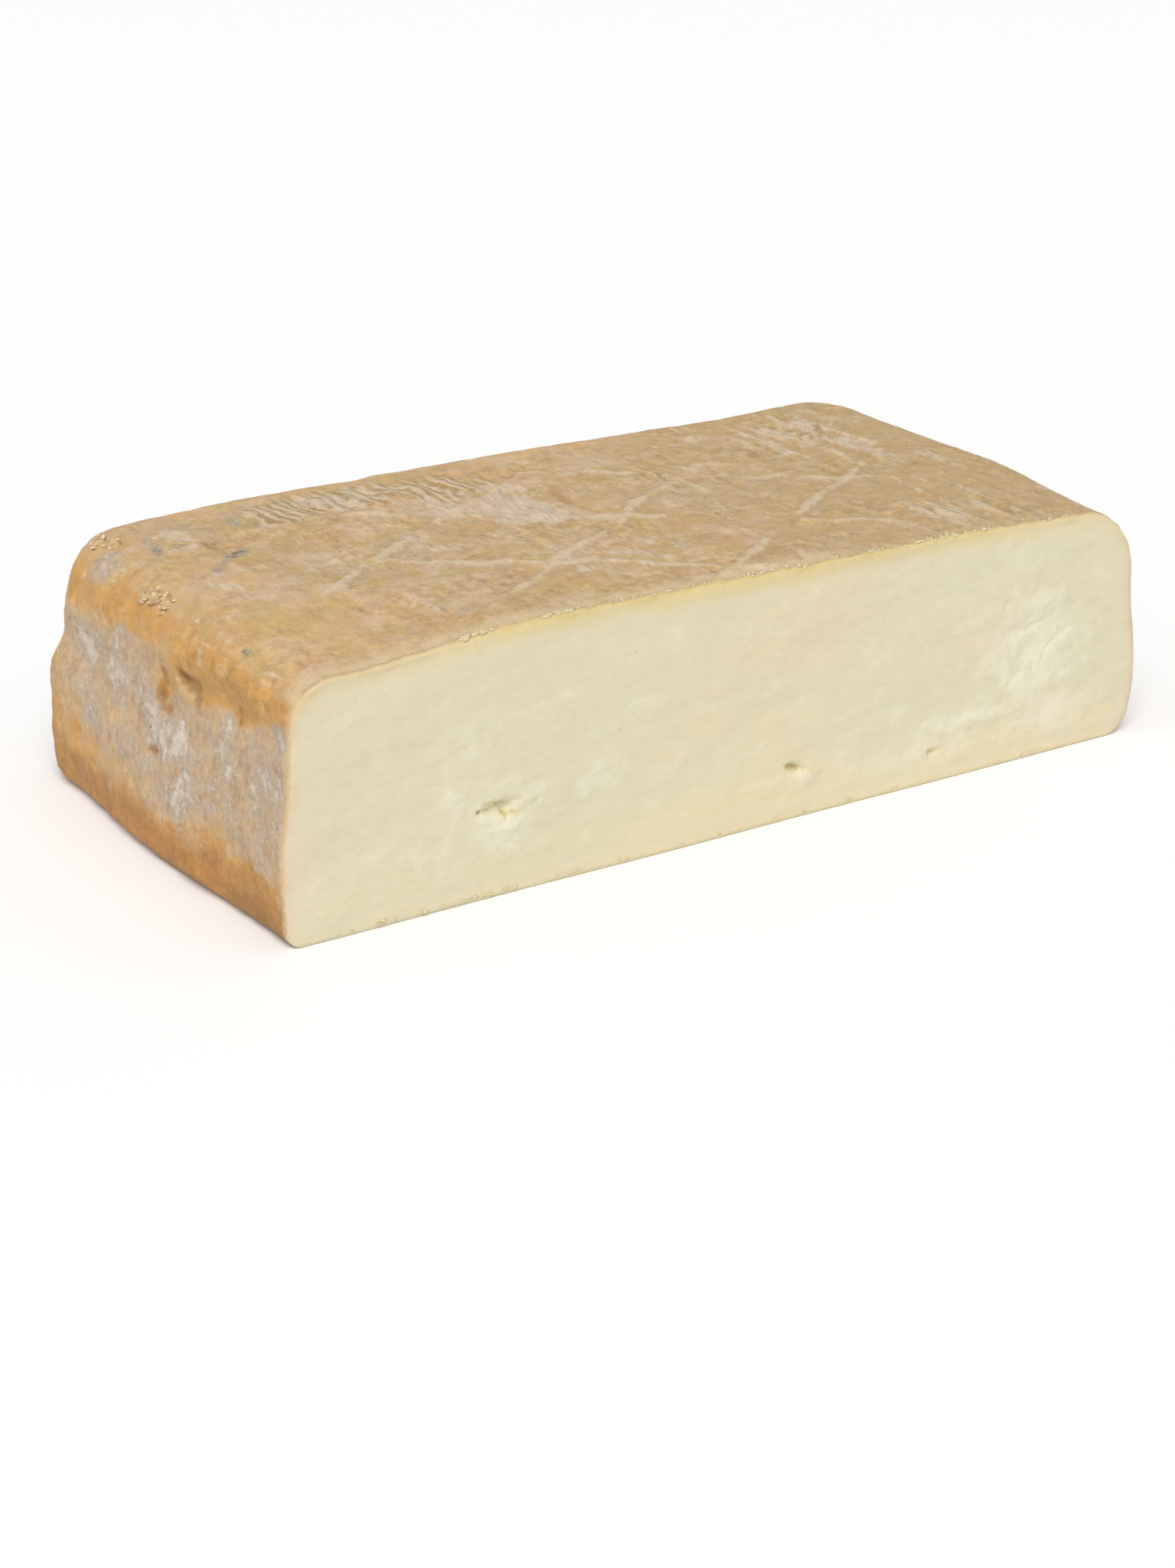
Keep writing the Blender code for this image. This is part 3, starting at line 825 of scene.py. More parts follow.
body_mesh.vertices.foreach_set("co", finished.astype(np.float32).ravel())
body_mesh.update()
for name, values in MAPS.items():
    layer = body_mesh.attributes.new(name, "FLOAT", "POINT")
    layer.data.foreach_set("value", values.astype(np.float32))
body_mesh.calc_loop_triangles()
print("body:", len(body_mesh.loop_triangles), "triangles,", len(MAPS), "maps")

# %% [markdown]
# Shader maths as plain formulas
#
# A material is a graph of nodes, and a long one is hard to read when each node is placed by hand.
# This small class wraps one output of a node. Sums and products of such values add the Math nodes
# themselves, so that 1 - mask reads as it is written. All other nodes come from one method, which
# takes a node's type, its settings, and what goes into its sockets.

# %% A value in a material
class Value:
    """One output of a node, which can be used in a formula."""

    tree = None

    def __init__(self, socket):
        self.socket = socket

    @classmethod
    def node(cls, kind, settings=None, sockets=None, output=0):
        made = cls.tree.nodes.new(kind)
        for name, setting in (settings or {}).items():
            if name == "stops":
                ramp = made.color_ramp.elements
                while len(ramp) < len(setting):
                    ramp.new(0.5)
                for stop, (place, colour) in zip(ramp, setting):
                    stop.position = place
                    stop.color = (*colour, 1.0)
            else:
                setattr(made, name, setting)
        for name, given in (sockets or {}).items():
            if isinstance(given, Value):
                cls.tree.links.new(given.socket, made.inputs[name])
            else:
                made.inputs[name].default_value = given
        return cls(made.outputs[output])

    @classmethod
    def maths(cls, operation, first, second):
        return cls.node("ShaderNodeMath", {"operation": operation}, {0: first, 1: second})

    def __add__(self, other):
        return Value.maths("ADD", self, other)

    def __sub__(self, other):
        return Value.maths("SUBTRACT", self, other)

    def __rsub__(self, other):
        return Value.maths("SUBTRACT", other, self)

    def __mul__(self, other):
        return Value.maths("MULTIPLY", self, other)

    __radd__ = __add__
    __rmul__ = __mul__

    def rise(self, start, end, top=1.0):
        """0 up to start, a smooth rise, and top from end on; an end below the start turns it round."""
        settings = {"interpolation_type": "SMOOTHSTEP", "clamp": True}
        sockets = {"Value": self, "From Min": start, "From Max": end, "To Max": top}
        return Value.node("ShaderNodeMapRange", settings, sockets)


print("a value has:", [name for name in vars(Value) if not name.startswith("__")])

# %% Helpers for maps, noise and colours
def skin_map(name):
    return Value.node("ShaderNodeAttribute", {"attribute_name": name}, output=2)


def places_in_mm(stretch=(1.0, 1.0, 1.0), start=0.0):
    """Object coordinates in millimetres, drawn out along an axis where its stretch is large."""
    here = Value.node("ShaderNodeTexCoord", output=3)
    scale = [1000.0 / part for part in stretch]
    sockets = {0: here, 1: scale, 2: (start, start * 0.7, start * 1.3)}
    return Value.node("ShaderNodeVectorMath", {"operation": "MULTIPLY_ADD"}, sockets)


def grain(size, stretch=(1.0, 1.0, 1.0), start=0.0, detail=2.0, rough_share=0.5):
    """Noise from 0 to 1 whose grains are about `size` millimetres wide."""
    sockets = {
        "Vector": places_in_mm(stretch, start),
        "Scale": 1.0 / size,
        "Detail": detail,
        "Roughness": rough_share,
    }
    return Value.node("ShaderNodeTexNoise", {"noise_dimensions": "3D"}, sockets)


def ruffle(amount, size, **how):
    """The same noise round 0, to add to a map so that the map's edges fray by `amount`."""
    return (grain(size, **how) - 0.5) * amount


def specks(size, start=0.0):
    """Distance from the middle of the nearest of many scattered points, 0 to about 1."""
    sockets = {"Vector": places_in_mm(start=start), "Scale": 1.0 / size, "Randomness": 1.0}
    return Value.node("ShaderNodeTexVoronoi", {"feature": "F1"}, sockets)


def tint(share, under, over):
    """Lays the colour `over` on the colour `under`, as much as share says."""
    sockets = {0: share}
    for number, colour in ((6, under), (7, over)):
        sockets[number] = colour if isinstance(colour, Value) else (*colour, 1.0)
    return Value.node("ShaderNodeMix", {"data_type": "RGBA", "clamp_factor": True}, sockets, output=2)


def new_material(name):
    """An empty material with its Principled shader; later values are added to its graph."""
    material = bpy.data.materials.new(name)
    material.use_nodes = True
    Value.tree = material.node_tree
    return material, material.node_tree.nodes["Principled BSDF"]


def feed(shader, name, value):
    Value.tree.links.new(value.socket, shader.inputs[name])


def feed_height(shader, height_mm):
    """Bumps the surface by a height in millimetres."""
    sockets = {"Height": height_mm * 0.001, "Distance": 1.0}
    feed(shader, "Normal", Value.node("ShaderNodeBump", None, sockets))


def let_light_in(shader, weight, reach):
    """Lets light a little way into the cheese, red the furthest; reach is in metres."""
    shader.inputs["Subsurface Weight"].default_value = weight
    shader.inputs["Subsurface Radius"].default_value = (1.0, 0.7, 0.4)
    shader.inputs["Subsurface Scale"].default_value = reach


print("helpers:", [helper.__name__ for helper in (skin_map, grain, ruffle, specks, tint, feed)])

# %% [markdown]
# The rind
#
# A washed rind is tan where it was rubbed, orange along its edges, and greyed by a thin lilac-white
# bloom where the brine did not reach. In the hollows and at the foot it is brown and dark amber, partly
# its own colour and partly painted shade, and under the lip of the end the orange deepens, partly as
# painted shade too. Its pressed ridges are pale from wear, with painted shade on their front sides and
# between the thread prints. It could be one noisy colour, but then it looks like sand. Here each layer
# is laid on the last: ground, blotches, wear with its painted shade, the dark foot, bloom, brown and
# mould.

# %% Colours of the rind, from its ground to its bloom
TAN = (0.508, 0.352, 0.200)
GOLD_TAN = (0.525, 0.338, 0.158)
PINK_TAN = (0.588, 0.416, 0.262)
OLIVE_TAN = (0.462, 0.318, 0.152)
SHOULDER_GOLD = (0.596, 0.386, 0.186)
SIDE_GOLD = (0.560, 0.362, 0.176)
ORANGE = (0.584, 0.312, 0.086)
# The dark amber of the foot is partly the rind's colour and partly painted shade and painted reflected
# light.
AMBER_FOOT_AND_SHADE = (0.418, 0.198, 0.055)
DEEP_GOLD = (0.490, 0.264, 0.078)
RUST = (0.420, 0.232, 0.098)
BROWN = (0.320, 0.160, 0.048)
DARK_BROWN = (0.190, 0.080, 0.024)
# Pink-brown is the bare rind under the bloom, and also the colour of the painted shade beside the
# pressed marks.
PINK_BROWN = (0.436, 0.298, 0.182)
STRAW_TAN = (0.515, 0.366, 0.142)
PINK_UNDER = (0.530, 0.374, 0.226)
WORN_PALE = (0.612, 0.496, 0.340)
POWDER = (0.585, 0.478, 0.362)
LIP_TAN = (0.640, 0.492, 0.298)
BLOOM_LILAC = (0.462, 0.366, 0.280)
BLOOM_WHITE = (0.600, 0.520, 0.434)
MOULD_GREY = (0.335, 0.298, 0.235)
SPECK = (0.120, 0.090, 0.040)


def shade(colour, light):
    """Makes a colour lighter or darker without changing its hue; light is 1 where it stays."""
    settings = {"data_type": "RGBA", "blend_type": "MULTIPLY"}
    return Value.node("ShaderNodeMix", settings, {0: 1.0, 6: colour, 7: light}, output=2)


def strands(size, start, on_top, stretch=3.0, detail=3.0):
    """Short fibres: along the depth on the top, a little upright on the sides; noise from 0 to 1."""
    flat = grain(size, stretch=(1.0, stretch, 1.0), start=start, detail=detail, rough_share=0.62)
    upright = grain(size, stretch=(1.0, 1.0, 1.4), start=start, detail=detail, rough_share=0.62)
    return on_top * flat + (1 - on_top) * upright


def veins(values, width):
    """1 where noise passes through its middle, which is along thin branching lines; 0 elsewhere."""
    return Value.maths("ABSOLUTE", values - 0.5, 0.0).rise(width, 0.0)


def side_of_place(number):
    return Value.node("ShaderNodeSeparateXYZ", None, {0: places_in_mm()}, output=number)


print("palest and darkest colour of the rind:", BLOOM_WHITE, SPECK)

# %% Threads of the mat, printed in a few places of the top
THREAD_MM = 2.8


def mat_threads():
    """Waves across x, one thread apart and a little crooked: 1 on the prints, 0 between them."""
    stray = ruffle(11.0, 14.0, start=130.0, detail=1.0) + ruffle(3.4, 4.0, start=131.0)
    across = side_of_place(0) + side_of_place(1) * 0.06 + stray
    return Value.maths("SINE", across * (2.0 * math.pi / THREAD_MM), 0.0) * 0.5 + 0.5


def hatched():
    edge = ruffle(2.8, 3.0, stretch=(1.0, 2.5, 1.0), start=133.0, detail=3.0, rough_share=0.6)
    return (skin_map("hatch") + edge).rise(0.35, 1.10)


print("threads", THREAD_MM, "mm apart")

# %% Ground of the rind: blotches, orange edges deepened in places by painted shade, fine flecks, and the pressed marks with their painted shade
def ground_colour(on_top, orange):
    ground = tint(grain(46.0, start=3.0).rise(0.42, 0.60), GOLD_TAN, TAN)
    ground = tint((1 - on_top) * 0.9, ground, SIDE_GOLD)
    ground = tint(grain(13.0, start=9.0, detail=3.0).rise(0.48, 0.62, 0.75), ground, OLIVE_TAN)
    ground = tint(grain(15.0, start=15.0, detail=3.0).rise(0.50, 0.64, 0.80), ground, PINK_TAN)
    ground = tint(grain(5.5, start=45.0, detail=3.0).rise(0.50, 0.66, 0.60), ground, GOLD_TAN)
    ground = tint(orange.rise(0.15, 0.90, 0.92), ground, tint(on_top, ORANGE, SHOULDER_GOLD))
    # Where the orange is strongest it deepens to dark gold: partly the rind's own colour, partly painted
    # shade under the lip of the end and at its base.
    deep = orange + ruffle(4.0, 6.0, start=48.0, detail=3.0)
    ground = tint(deep.rise(0.90, 1.80, 0.75) * (1 - on_top * 0.6), ground, DEEP_GOLD)
    ground = tint(grain(7.0, start=46.0).rise(0.50, 0.64, 0.70) * on_top, ground, PINK_TAN)
    ground = tint(grain(6.0, start=47.0).rise(0.52, 0.66, 0.70) * on_top, ground, STRAW_TAN)
    return tint(side_of_place(0).rise(-5.0, 70.0, 0.65) * on_top, ground, OLIVE_TAN)


def mottled_colour(ground, on_top, calm):
    groups = grain(6.0, start=25.0, detail=3.0)
    flat = on_top.rise(0.85, 1.0)
    flecks = strands(0.75, 27.0, on_top, stretch=2.0)
    blots = grain(2.6, start=33.0, detail=5.0, rough_share=0.65)
    lines = grain(1.8, stretch=(1.0, 7.0, 1.0), start=30.0, detail=2.0) - 0.5
    light = (flecks - 0.5) * 0.45 + (blots - 0.5) * 1.05 + lines * flat * groups.rise(0.42, 0.60, 0.8)
    strong = 0.45 + grain(12.0, start=35.0, detail=1.0).rise(0.40, 0.62, 0.85)
    ground = shade(ground, 1 + light * strong * (1 - calm * on_top * 0.45))
    powdery = flecks.rise(0.60, 0.76, 0.15) * groups.rise(0.58, 0.44) * (1 - calm * 0.8)
    ground = tint(powdery, ground, WORN_PALE)
    stains = grain(3.4, start=34.0, detail=2.0)
    ground = tint(stains.rise(0.46, 0.30, 0.35) * strong, ground, DEEP_GOLD)
    ground = tint(stains.rise(0.56, 0.72, 0.30) * strong * on_top * (1 - calm * 0.7), ground, POWDER)
    threads = veins(strands(3.2, 36.0, on_top, stretch=2.6), 0.022) * groups.rise(0.46, 0.60)
    return tint(threads * (1 - calm * 0.8) * on_top * 0.50, ground, WORN_PALE)


def pressed_colour(ground):
    breaks = grain(1.8, start=39.0, detail=5.0, rough_share=0.65)
    wear = grain(9.0, start=42.0, detail=3.0)
    # Painted shade: the front side of each pressed mark is tinted pink-brown, as its shadow.
    foot = skin_map("foot") * breaks.rise(0.30, 0.55)
    ground = tint(foot.rise(0.10, 0.90, 0.55), ground, PINK_BROWN)
    worn = skin_map("crest") * 1.2 + (breaks - 0.5) * 1.6 + (wear - 0.5) * 3.2
    ground = tint(worn.rise(0.40, 1.25, 0.75), ground, WORN_PALE)
    streaks = grain(1.0, stretch=(1.0, 4.0, 1.0), start=51.0, detail=4.0, rough_share=0.65) - 0.5
    powder = skin_map("pale") + ruffle(3.4, 4.2, start=54.0, detail=3.0) + streaks * 1.2
    ground = tint(powder.rise(0.30, 1.15, 0.75), ground, POWDER)
    ground = shade(ground, 1 + streaks * powder.rise(0.10, 0.80))
    prints = mat_threads() + (breaks - 0.5) * 2.2
    ground = tint(hatched() * prints.rise(0.35, 0.80, 0.85), ground, WORN_PALE)
    # Painted shade: between the raised thread prints the rind is darkened by up to a quarter, as the
    # grooves would be in shade.
    ground = shade(ground, 1 - hatched() * prints.rise(0.38, 0.05, 0.24))
    rust = skin_map("rust") + (breaks - 0.5) * 1.4
    return tint(rust.rise(0.20, 1.0, 0.75), ground, RUST)


print("lower layers:", [layer.__name__ for layer in (ground_colour, mottled_colour, pressed_colour)])

# %% Upper layers: the dark foot, bloom, brown dents and mould; the foot and the brown are partly painted shade
def bloomed_colour(ground):
    """A soft lilac veil over the ground, whiter where it is thick, with pale grains strewn on it."""
    here = skin_map("bloom")
    clouds = grain(7.0, start=75.0, detail=3.0) - 0.5
    curdled = grain(2.8, start=78.0, detail=3.0, rough_share=0.6) - 0.5
    veil = here + (clouds * 4.6 + curdled * 3.0) * here.rise(-0.1, 0.5) - 0.08
    ground = tint(here.rise(0.05, 0.55, 0.90), ground, PINK_UNDER)
    ground = tint(veil.rise(0.05, 1.15, 0.86), ground, BLOOM_LILAC)
    gaps = grain(1.4, start=84.0, detail=4.0, rough_share=0.68) - 0.5
    bare = clouds * -1.6 + ruffle(3.2, 4.2, start=85.0, detail=3.0, rough_share=0.6)
    ground = tint(here.rise(0.0, 0.5) * bare.rise(0.08, 0.60, 0.88), ground, PINK_BROWN)
    thick = veil + curdled * 1.6 - gaps * 1.6
    ground = tint(thick.rise(1.10, 2.10, 0.88), ground, BLOOM_WHITE)
    ground = shade(ground, 1 - gaps * here.rise(0.0, 0.5, 0.9))
    strewn = specks(1.5, start=69.0) + gaps * 0.8
    return tint(strewn.rise(0.30, 0.16, 0.75) * veil.rise(0.30, 1.10), ground, BLOOM_WHITE)


def ripened_colour(ground, on_top):
    # The low band turns the sides amber towards the base: partly the rind's colour, partly painted shade
    # and painted reflected orange light.
    low = skin_map("low_band") * (1 - on_top) + ruffle(1.2, 7.0, start=63.0, detail=4.0)
    ground = tint(low.rise(0.15, 0.90, 0.88), ground, AMBER_FOOT_AND_SHADE)
    uneven = ruffle(0.9, 1.6, start=64.0, detail=4.0, rough_share=0.7)
    uneven += ruffle(0.7, 4.5, start=65.0, detail=3.0)
    ground = shade(ground, 1 + uneven * low.rise(0.0, 0.8))
    ground = bloomed_colour(ground)
    # Brown in the dents, the notch and along the base of the end, darkest in the notch: partly the
    # rind's colour, partly painted shade.
    brown = skin_map("brown") + ruffle(1.1, 1.6, start=57.0, detail=4.0)
    ground = tint(brown.rise(0.22, 0.90, 0.75), ground, BROWN)
    ground = tint(brown.rise(0.90, 1.40, 0.85), ground, DARK_BROWN)
    mould = skin_map("mould") + ruffle(4.0, 0.9, start=81.0, detail=4.0, rough_share=0.7)
    mould += ruffle(2.0, 3.5, start=82.0, detail=3.0)
    ground = tint(mould.rise(0.30, 1.10, 0.80), ground, MOULD_GREY)
    return tint(mould.rise(1.15, 1.70, 0.70), ground, SPECK)


def rind_colour():
    on_top = skin_map("on_top")
    orange = skin_map("orange") + ruffle(2.6, 8.0, start=21.0, detail=3.0)
    calm = orange.rise(0.20, 1.00)
    ground = mottled_colour(ground_colour(on_top, orange), on_top, calm)
    ground = ripened_colour(pressed_colour(ground), on_top)
    lip = skin_map("lip") + ruffle(2.0, 2.2, start=90.0, detail=5.0, rough_share=0.6)
    ground = tint(lip.rise(0.20, 1.20, 0.75), ground, LIP_TAN)
    dots = specks(6.0, start=5.0).rise(0.065, 0.030, 0.85) * grain(17.0, start=87.0).rise(0.48, 0.56)
    return tint(dots, ground, SPECK)


print("upper layers:", [layer.__name__ for layer in (ripened_colour, bloomed_colour)])

# %% [markdown]
# The paste
#
# Inside, the cheese is a smooth cream paste, yellower just under the rind, where ripening starts, and
# chalk-white round the eyes, where it has not reached. A flat cream would look like wax. So the
# colour drifts slowly along the cut, it warms towards the base, the rim is straw, and the mouths of
# the eyes are yellow-brown.

# %% Colours of the paste
CREAM = (0.640, 0.594, 0.415)
CREAM_WARM = (0.668, 0.586, 0.402)
CREAM_LOW = (0.710, 0.602, 0.380)
CHALK_WHITE = (0.728, 0.690, 0.542)
EYE_STRAW = (0.665, 0.560, 0.290)
EYE_BROWN = (0.400, 0.285, 0.110)
TOP_RIM = (
    (0.00, (0.660, 0.595, 0.415)),
    (0.28, (0.668, 0.590, 0.385)),
    (0.55, (0.655, 0.560, 0.325)),
    (0.76, (0.645, 0.535, 0.278)),
    (0.92, (0.610, 0.480, 0.215)),
)
SIDE_RIM = (
    (0.00, (0.650, 0.595, 0.425)),
    (0.60, (0.662, 0.588, 0.415)),
    (0.82, (0.655, 0.548, 0.375)),
    (0.96, (0.620, 0.470, 0.298)),
)
RIM_MM = 6.0


def rim_colour(stops, near):
    """A colour that changes with the distance to the rind; near is 0 deep inside and 1 at the rind."""
    return Value.node("ShaderNodeValToRGB", {"stops": stops}, {0: near})


def paste_colour():
    drift = grain(15.0, stretch=(2.0, 1.0, 1.0), start=4.0, detail=4.0)
    warm = 0.3 + side_of_place(0).rise(-90.0, -10.0, 0.7)
    paste = tint(drift.rise(0.40, 0.64) * warm, CREAM, CREAM_WARM)
    low = side_of_place(2) + ruffle(14.0, 12.0, stretch=(3.0, 1.0, 1.0), start=10.0)
    paste = tint(low.rise(15.0, 0.0, 0.75) * warm, paste, CREAM_LOW)
    curds = grain(4.5, stretch=(1.6, 1.0, 1.0), start=16.0, detail=5.0, rough_share=0.6)
    paste = tint(curds.rise(0.52, 0.74, 0.40), paste, CHALK_WHITE)
    dragged = grain(1.5, stretch=(1.5, 1.0, 1.0), start=17.0, detail=3.0, rough_share=0.55) - 0.5
    paste = shade(paste, 1 + dragged * 0.10)
    chalk = skin_map("chalk") + ruffle(2.4, 4.5, start=22.0, detail=5.0, rough_share=0.62)
    paste = tint(chalk.rise(0.20, 1.15, 0.72), paste, CHALK_WHITE)
    mouth = skin_map("mouth") + ruffle(0.7, 0.9, start=28.0, detail=3.0)
    paste = tint(mouth.rise(0.10, 0.60, 0.75), paste, EYE_STRAW)
    paste = tint(mouth.rise(0.60, 1.20, 0.85), paste, EYE_BROWN)
    ragged = ruffle(0.35, 1.6, start=34.0, detail=5.0, rough_share=0.6)
    ragged += ruffle(0.50, 9.0, start=37.0, detail=2.0)
    near = skin_map("paste_to_rind") * (1.0 / RIM_MM) + 1.0 + ragged
    rim = tint(skin_map("straw_rim"), rim_colour(SIDE_RIM, near), rim_colour(TOP_RIM, near))
    return tint(near.rise(0.05, 0.50) * (1 - skin_map("rim_at_base")), paste, rim)


print("the rim changes over", RIM_MM, "mm")

# %% One material across the ragged edge of the cut
def skin_bump(rind):
    """Fine height of the skin in millimetres: fibres and pits on the rind, knife drag on the paste."""
    on_top = skin_map("on_top")
    fibres = strands(0.75, 27.0, on_top)
    pores = grain(0.45, start=97.0, detail=3.0, rough_share=0.6)
    wrinkles = strands(2.8, 103.0, on_top, stretch=1.5, detail=3.0)
    folds = veins(strands(2.0, 78.0, on_top, stretch=1.5), 0.045)
    grains = specks(1.5, start=69.0).rise(0.40, 0.10) * skin_map("bloom").rise(0.1, 0.9)
    on_rind = fibres * (0.05 + on_top * 0.05) + pores * 0.06 + wrinkles * 0.17 + folds * on_top * 0.05
    on_rind += grains * 0.07 + mat_threads() * hatched() * 0.42
    drag = grain(1.9, stretch=(1.8, 1.0, 1.0), start=109.0, detail=4.0) * 0.20
    curds = grain(3.4, start=115.0, detail=4.0, rough_share=0.5) * (0.32 + skin_map("chalk")) * 0.46
    on_paste = drag + curds + grain(0.9, start=121.0, detail=2.0) * 0.03
    return rind * on_rind + (1 - rind) * on_paste


SKIN_SHINE = 0.34


def skin_material():
    material, shader = new_material("rind_and_paste")
    edge = skin_map("paste_to_rind") + ruffle(2.0, 1.3, start=7.0, detail=5.0, rough_share=0.6)
    rind = edge.rise(-0.5, 0.8)
    feed(shader, "Base Color", tint(rind, paste_colour(), rind_colour()))
    feed(shader, "Roughness", 0.46 + rind * 0.18 + skin_map("bloom").rise(0.0, 1.0) * rind * 0.14)
    feed_height(shader, skin_bump(rind))
    let_light_in(shader, 0.12, 0.002)
    shader.inputs["Specular IOR Level"].default_value = SKIN_SHINE
    return material


body = finish_piece(body_mesh, skin_material())
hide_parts(NODE)
print("body material:", len(Value.tree.nodes), "nodes")

# %% [markdown]
# Crumbs at the rim and lumps of curd
#
# The knife dragged crumbs and shreds of paste along the top and the foot of the cut, and two lumps of
# curd had been squeezed out at the rim of the mould. They could be scattered with a particle system,
# but here they are plain meshes. Each grain is a small icosphere that noise makes lumpy, set on the
# skin where a ray meets it, and all grains of a kind are one mesh. The curds are melted together by a
# Remesh modifier. The tips that stand out of the melted lump are painted pale, as a painted highlight,
# and the clefts between them are painted dark brown, as a painted shade.

# %% A lumpy grain, and the skin it sits on
skin_faces = [tuple(polygon.vertices) for polygon in body_mesh.polygons]
skin_tree = BVHTree.FromPolygons([tuple(place) for place in finished], skin_faces)
LUMPINESS = 0.75


def add_grain(bm, place, radius, stretch, drawn):
    """Adds one lumpy grain; stretch is its size along x, y and z as shares of its radius."""
    made = bmesh.ops.create_icosphere(bm, subdivisions=1, radius=1.0)["verts"]
    start = Vector((drawn.uniform(0.0, 90.0), drawn.uniform(0.0, 90.0), drawn.uniform(0.0, 90.0)))
    for vert in made:
        vert.co *= 1.0 + LUMPINESS * noise.noise(vert.co * 1.3 + start)
    bmesh.ops.scale(bm, vec=[radius * part for part in stretch], verts=made)
    turn = Matrix.Rotation(drawn.uniform(-0.7, 0.7), 3, "Z")
    bmesh.ops.rotate(bm, cent=(0.0, 0.0, 0.0), matrix=turn, verts=made)
    bmesh.ops.translate(bm, vec=place, verts=made)


def on_skin(x, y):
    """The place on the top of the cheese straight below x and y, given in mm."""
    above = Vector((x / 1000.0, y / 1000.0, 0.1))
    return skin_tree.ray_cast(above, Vector((0.0, 0.0, -1.0)))[0]


def on_cut_face(x, z):
    """The place on the cut at x and z, given in mm."""
    before = Vector((x / 1000.0, -0.2, z / 1000.0))
    return skin_tree.ray_cast(before, Vector((0.0, 1.0, 0.0)))[0]


print("skin faces:", len(skin_faces))

# %% Rows of grains: crumbs, shreds of the rim and lumps of curd
def row_of_grains(name, rows, seed, settle=on_skin):
    """One mesh of all rows; a row is its ends in mm, how many, their radii, its spread and height."""
    drawn = random.Random(seed)
    bm = bmesh.new()
    for x0, y0, x1, y1, count, small, large, spread, height in rows:
        for _ in range(count):
            share = drawn.uniform(0.0, 1.0)
            side = drawn.gauss(0.0, 1.0)
            x = x0 + (x1 - x0) * share + drawn.gauss(0.0, spread)
            y = y0 + (y1 - y0) * share + side * spread
            place = settle(x, y)
            if place is None:
                continue
            radius = drawn.uniform(small, large) / 1000.0
            stretch = (drawn.uniform(0.9, 1.8), drawn.uniform(0.7, 1.2), drawn.uniform(0.5, 0.8))
            lift = drawn.uniform(0.0, height) * math.exp(-side * side) / 1000.0
            add_grain(bm, place + Vector((0.0, 0.0, lift)), radius, stretch, drawn)
    return mesh_from(bm, name)


RIM_ROWS = (
    (-62.2, -49.7, -55.8, -49.8, 12, 0.35, 0.7, 0.15, 0.2),
    (-45.3, -49.8, -37.5, -49.3, 16, 0.3, 0.65, 0.2, 0.2),
    (-30, -49.7, -17, -49.6, 9, 0.25, 0.5, 0.25, 0.1),
    (10, -49.8, 14.5, -49.6, 7, 0.25, 0.55, 0.25, 0.2),
    (25.5, -49.7, 29, -49.5, 6, 0.25, 0.5, 0.25, 0.2),
    (44, -49.8, 47, -49.5, 4, 0.25, 0.45, 0.2, 0.1),
    (54.5, -49.7, 57.5, -49.6, 4, 0.25, 0.5, 0.25, 0.2),
    (72.6, -49.9, 73.1, -49.3, 4, 0.25, 0.4, 0.15, 0.5),
    (-50, -49.8, 84, -49.6, 60, 0.16, 0.42, 0.3, 0.1),
    (-3, -49.8, 12, -49.6, 12, 0.2, 0.5, 0.3, 0.3),
    (38, -49.8, 50, -49.6, 9, 0.2, 0.48, 0.3, 0.3),
    (-86, -49, 84, -47, 34, 0.14, 0.3, 0.9, 0),
)
CURD_ROWS = (
    (-95.3, 6.4, -94.5, -2.8, 10, 0.8, 1.2, 0.3, 0.3),
    (-95.3, 6.6, -94.4, -3.2, 34, 0.35, 0.75, 0.5, 1.2),
    (-95, 3, -94.6, -1.6, 16, 0.4, 0.8, 0.35, 2.2),
    (-91.4, 36.2, -89.4, 31, 8, 0.9, 1.3, 0.3, 0.5),
    (-91.4, 36.2, -89.4, 31, 22, 0.4, 0.8, 0.45, 2.4),
)
FOOT_ROWS = (
    (-90, 1, -38, 1, 34, 0.22, 0.46, 0.12, 0),
    (-38, 0.9, 84, 0.9, 30, 0.16, 0.36, 0.12, 0),
)
crumbs_mesh = row_of_grains("rim_crumbs", RIM_ROWS, 5)
foot_mesh = row_of_grains("foot_crumbs", FOOT_ROWS, 11, settle=on_cut_face)
loose_curds = row_of_grains("loose_curds", CURD_ROWS, 8)
print("crumb faces:", len(crumbs_mesh.polygons), "loose curd faces:", len(loose_curds.polygons))

# %% Curds that knitted into one lump
FUSE = 0.00019
TIP_ROUNDS = 10
ALL_AXES = {"use_axis_x": True, "use_axis_y": True, "use_axis_z": True}


def fused(mesh, name):
    """Melts overlapping grains into one closed skin with a Remesh modifier, which is applied."""
    loose = in_scene(name, mesh)
    remesh = loose.modifiers.new("melt", "REMESH")
    remesh.mode = "VOXEL"
    remesh.voxel_size = FUSE
    lump = bpy.data.meshes.new_from_object(loose.evaluated_get(bpy.context.evaluated_depsgraph_get()))
    bpy.data.objects.remove(loose)
    bpy.data.meshes.remove(mesh)
    lump.name = name
    return lump


def add_tips(mesh):
    """Stores how far each point stands out of its smoothed lump, in mm, in the map `tip`."""
    before = point_places(mesh)
    bm = bmesh.new()
    bm.from_mesh(mesh)
    for _ in range(TIP_ROUNDS):
        bmesh.ops.smooth_vert(bm, verts=bm.verts, factor=0.5, **ALL_AXES)
    after = np.array([vert.co for vert in bm.verts])
    bm.free()
    tips = ((before - after) * point_normals(mesh, before)).sum(axis=1) * 1000.0
    layer = mesh.attributes.new("tip", "FLOAT", "POINT")
    layer.data.foreach_set("value", tips.astype(np.float32))
    print("tips from", round(float(tips.min()), 2), "to", round(float(tips.max()), 2), "mm")


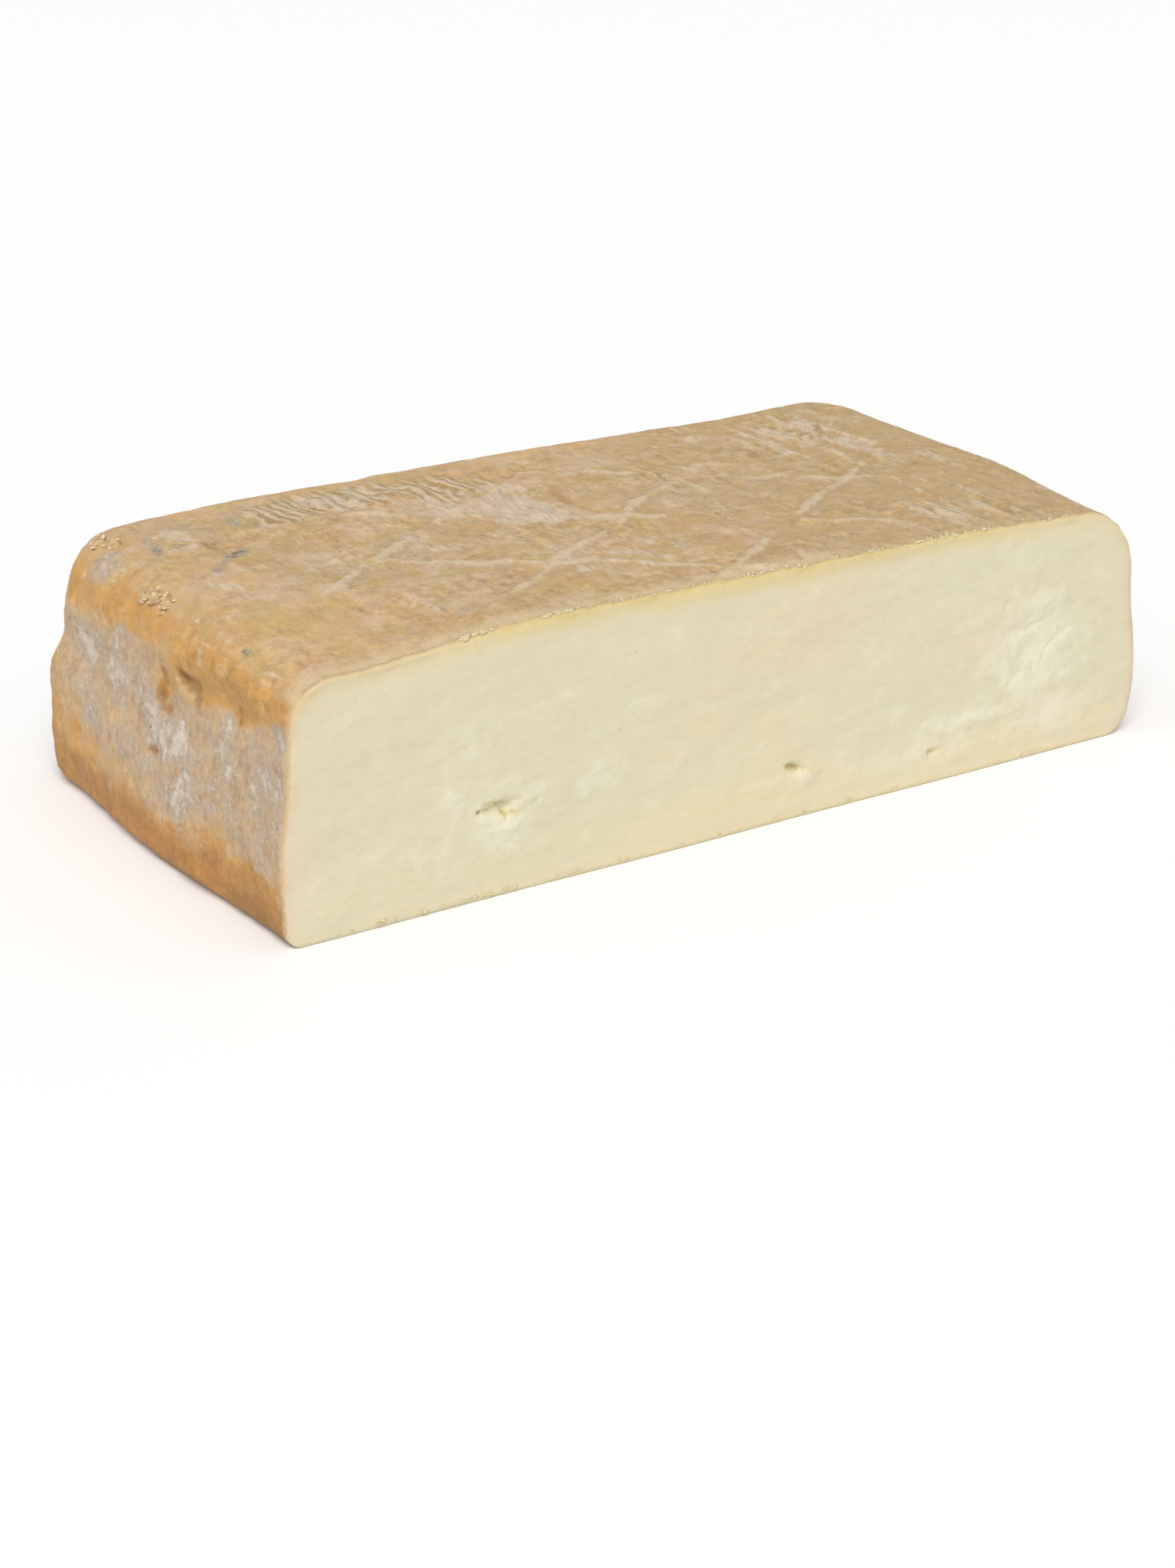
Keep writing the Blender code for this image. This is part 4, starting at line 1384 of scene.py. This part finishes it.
curds_mesh = fused(loose_curds, "curd_lumps")
add_tips(curds_mesh)
print("curd faces:", len(curds_mesh.polygons))

# %% Finish of the crumbs and the curd
CRUMB_CREAM = (0.700, 0.590, 0.370)
CRUMB_DARK = (0.610, 0.465, 0.235)
CURD_PALE = (0.560, 0.395, 0.200)
# The tip colour is a painted highlight and the cleft colour a painted shade.
CURD_TIP_HIGHLIGHT = (0.840, 0.745, 0.530)
CURD_DARK = (0.420, 0.258, 0.105)
CLEFT_SHADE = (0.190, 0.095, 0.028)


def crumb_material(name, light, dark, size, knitted=False):
    material, shader = new_material(name)
    lumps = grain(size, start=2.0, detail=4.0, rough_share=0.6)
    colour = tint(lumps.rise(0.56, 0.36, 0.8), light, dark)
    if knitted:
        # Painted highlight on the tips that stand out of the lump, painted shade in the clefts between
        # the curds.
        tip = skin_map("tip") + (lumps - 0.5) * 0.25
        colour = tint(tip.rise(0.04, 0.15, 0.95), colour, CURD_TIP_HIGHLIGHT)
        colour = tint(tip.rise(-0.02, -0.14, 0.9), colour, CLEFT_SHADE)
    feed(shader, "Base Color", colour)
    feed(shader, "Roughness", 0.35 + lumps * 0.3)
    feed_height(shader, lumps * (0.3 * size))
    let_light_in(shader, 0.2, 0.001)
    return material


paste_crumb = crumb_material("paste_crumb", CRUMB_CREAM, CRUMB_DARK, 0.6)
finish_piece(crumbs_mesh, paste_crumb)
finish_piece(foot_mesh, paste_crumb)
dried_curd = crumb_material("dried_curd", CURD_PALE, CURD_DARK, 1.3, knitted=True)
finish_piece(curds_mesh, dried_curd)

# %% [markdown]
# Floor, light and air
#
# The picture is a plain product shot on white. The floor is a large pale sheet, which is not attached
# to the cheese. Lamps near the block would leave the far floor grey, so the key light is a sun with a
# wide angle, which is as soft as a large window and equally bright everywhere. The air itself is
# bright too, so that no side falls into shade.

# %% Floor and lights
FLOOR_HALF = 6.0
FLOOR_COLOUR = (0.93, 0.93, 0.925)
KEY_FROM = (-0.25, -0.36, 0.55)
KEY_WIDTH = 38.0
KEY_POWER = 2.2
AIR = (1.0, 1.0, 1.0)
AIR_STRENGTH = 0.55


def pale_floor():
    bm = bmesh.new()
    bmesh.ops.create_grid(bm, x_segments=2, y_segments=2, size=FLOOR_HALF)
    mesh = mesh_from(bm, "floor")
    material, shader = new_material("pale_floor")
    shader.inputs["Base Color"].default_value = (*FLOOR_COLOUR, 1.0)
    shader.inputs["Roughness"].default_value = 0.7
    mesh.materials.append(material)
    return in_scene("floor", mesh)


def soft_sun():
    data = bpy.data.lights.new("key", "SUN")
    data.angle = math.radians(KEY_WIDTH)
    data.energy = KEY_POWER
    light = in_scene("key", data)
    light.rotation_euler = Vector(KEY_FROM).to_track_quat("Z", "Y").to_euler()


def bright_air():
    world = bpy.data.worlds.new("air")
    world.use_nodes = True
    background = world.node_tree.nodes["Background"]
    background.inputs["Color"].default_value = (*AIR, 1.0)
    background.inputs["Strength"].default_value = AIR_STRENGTH
    bpy.context.scene.world = world


floor = pale_floor()
soft_sun()
bright_air()
bpy.context.scene.view_settings.view_transform = "Standard"
print("key light", KEY_POWER, "and air", AIR_STRENGTH)
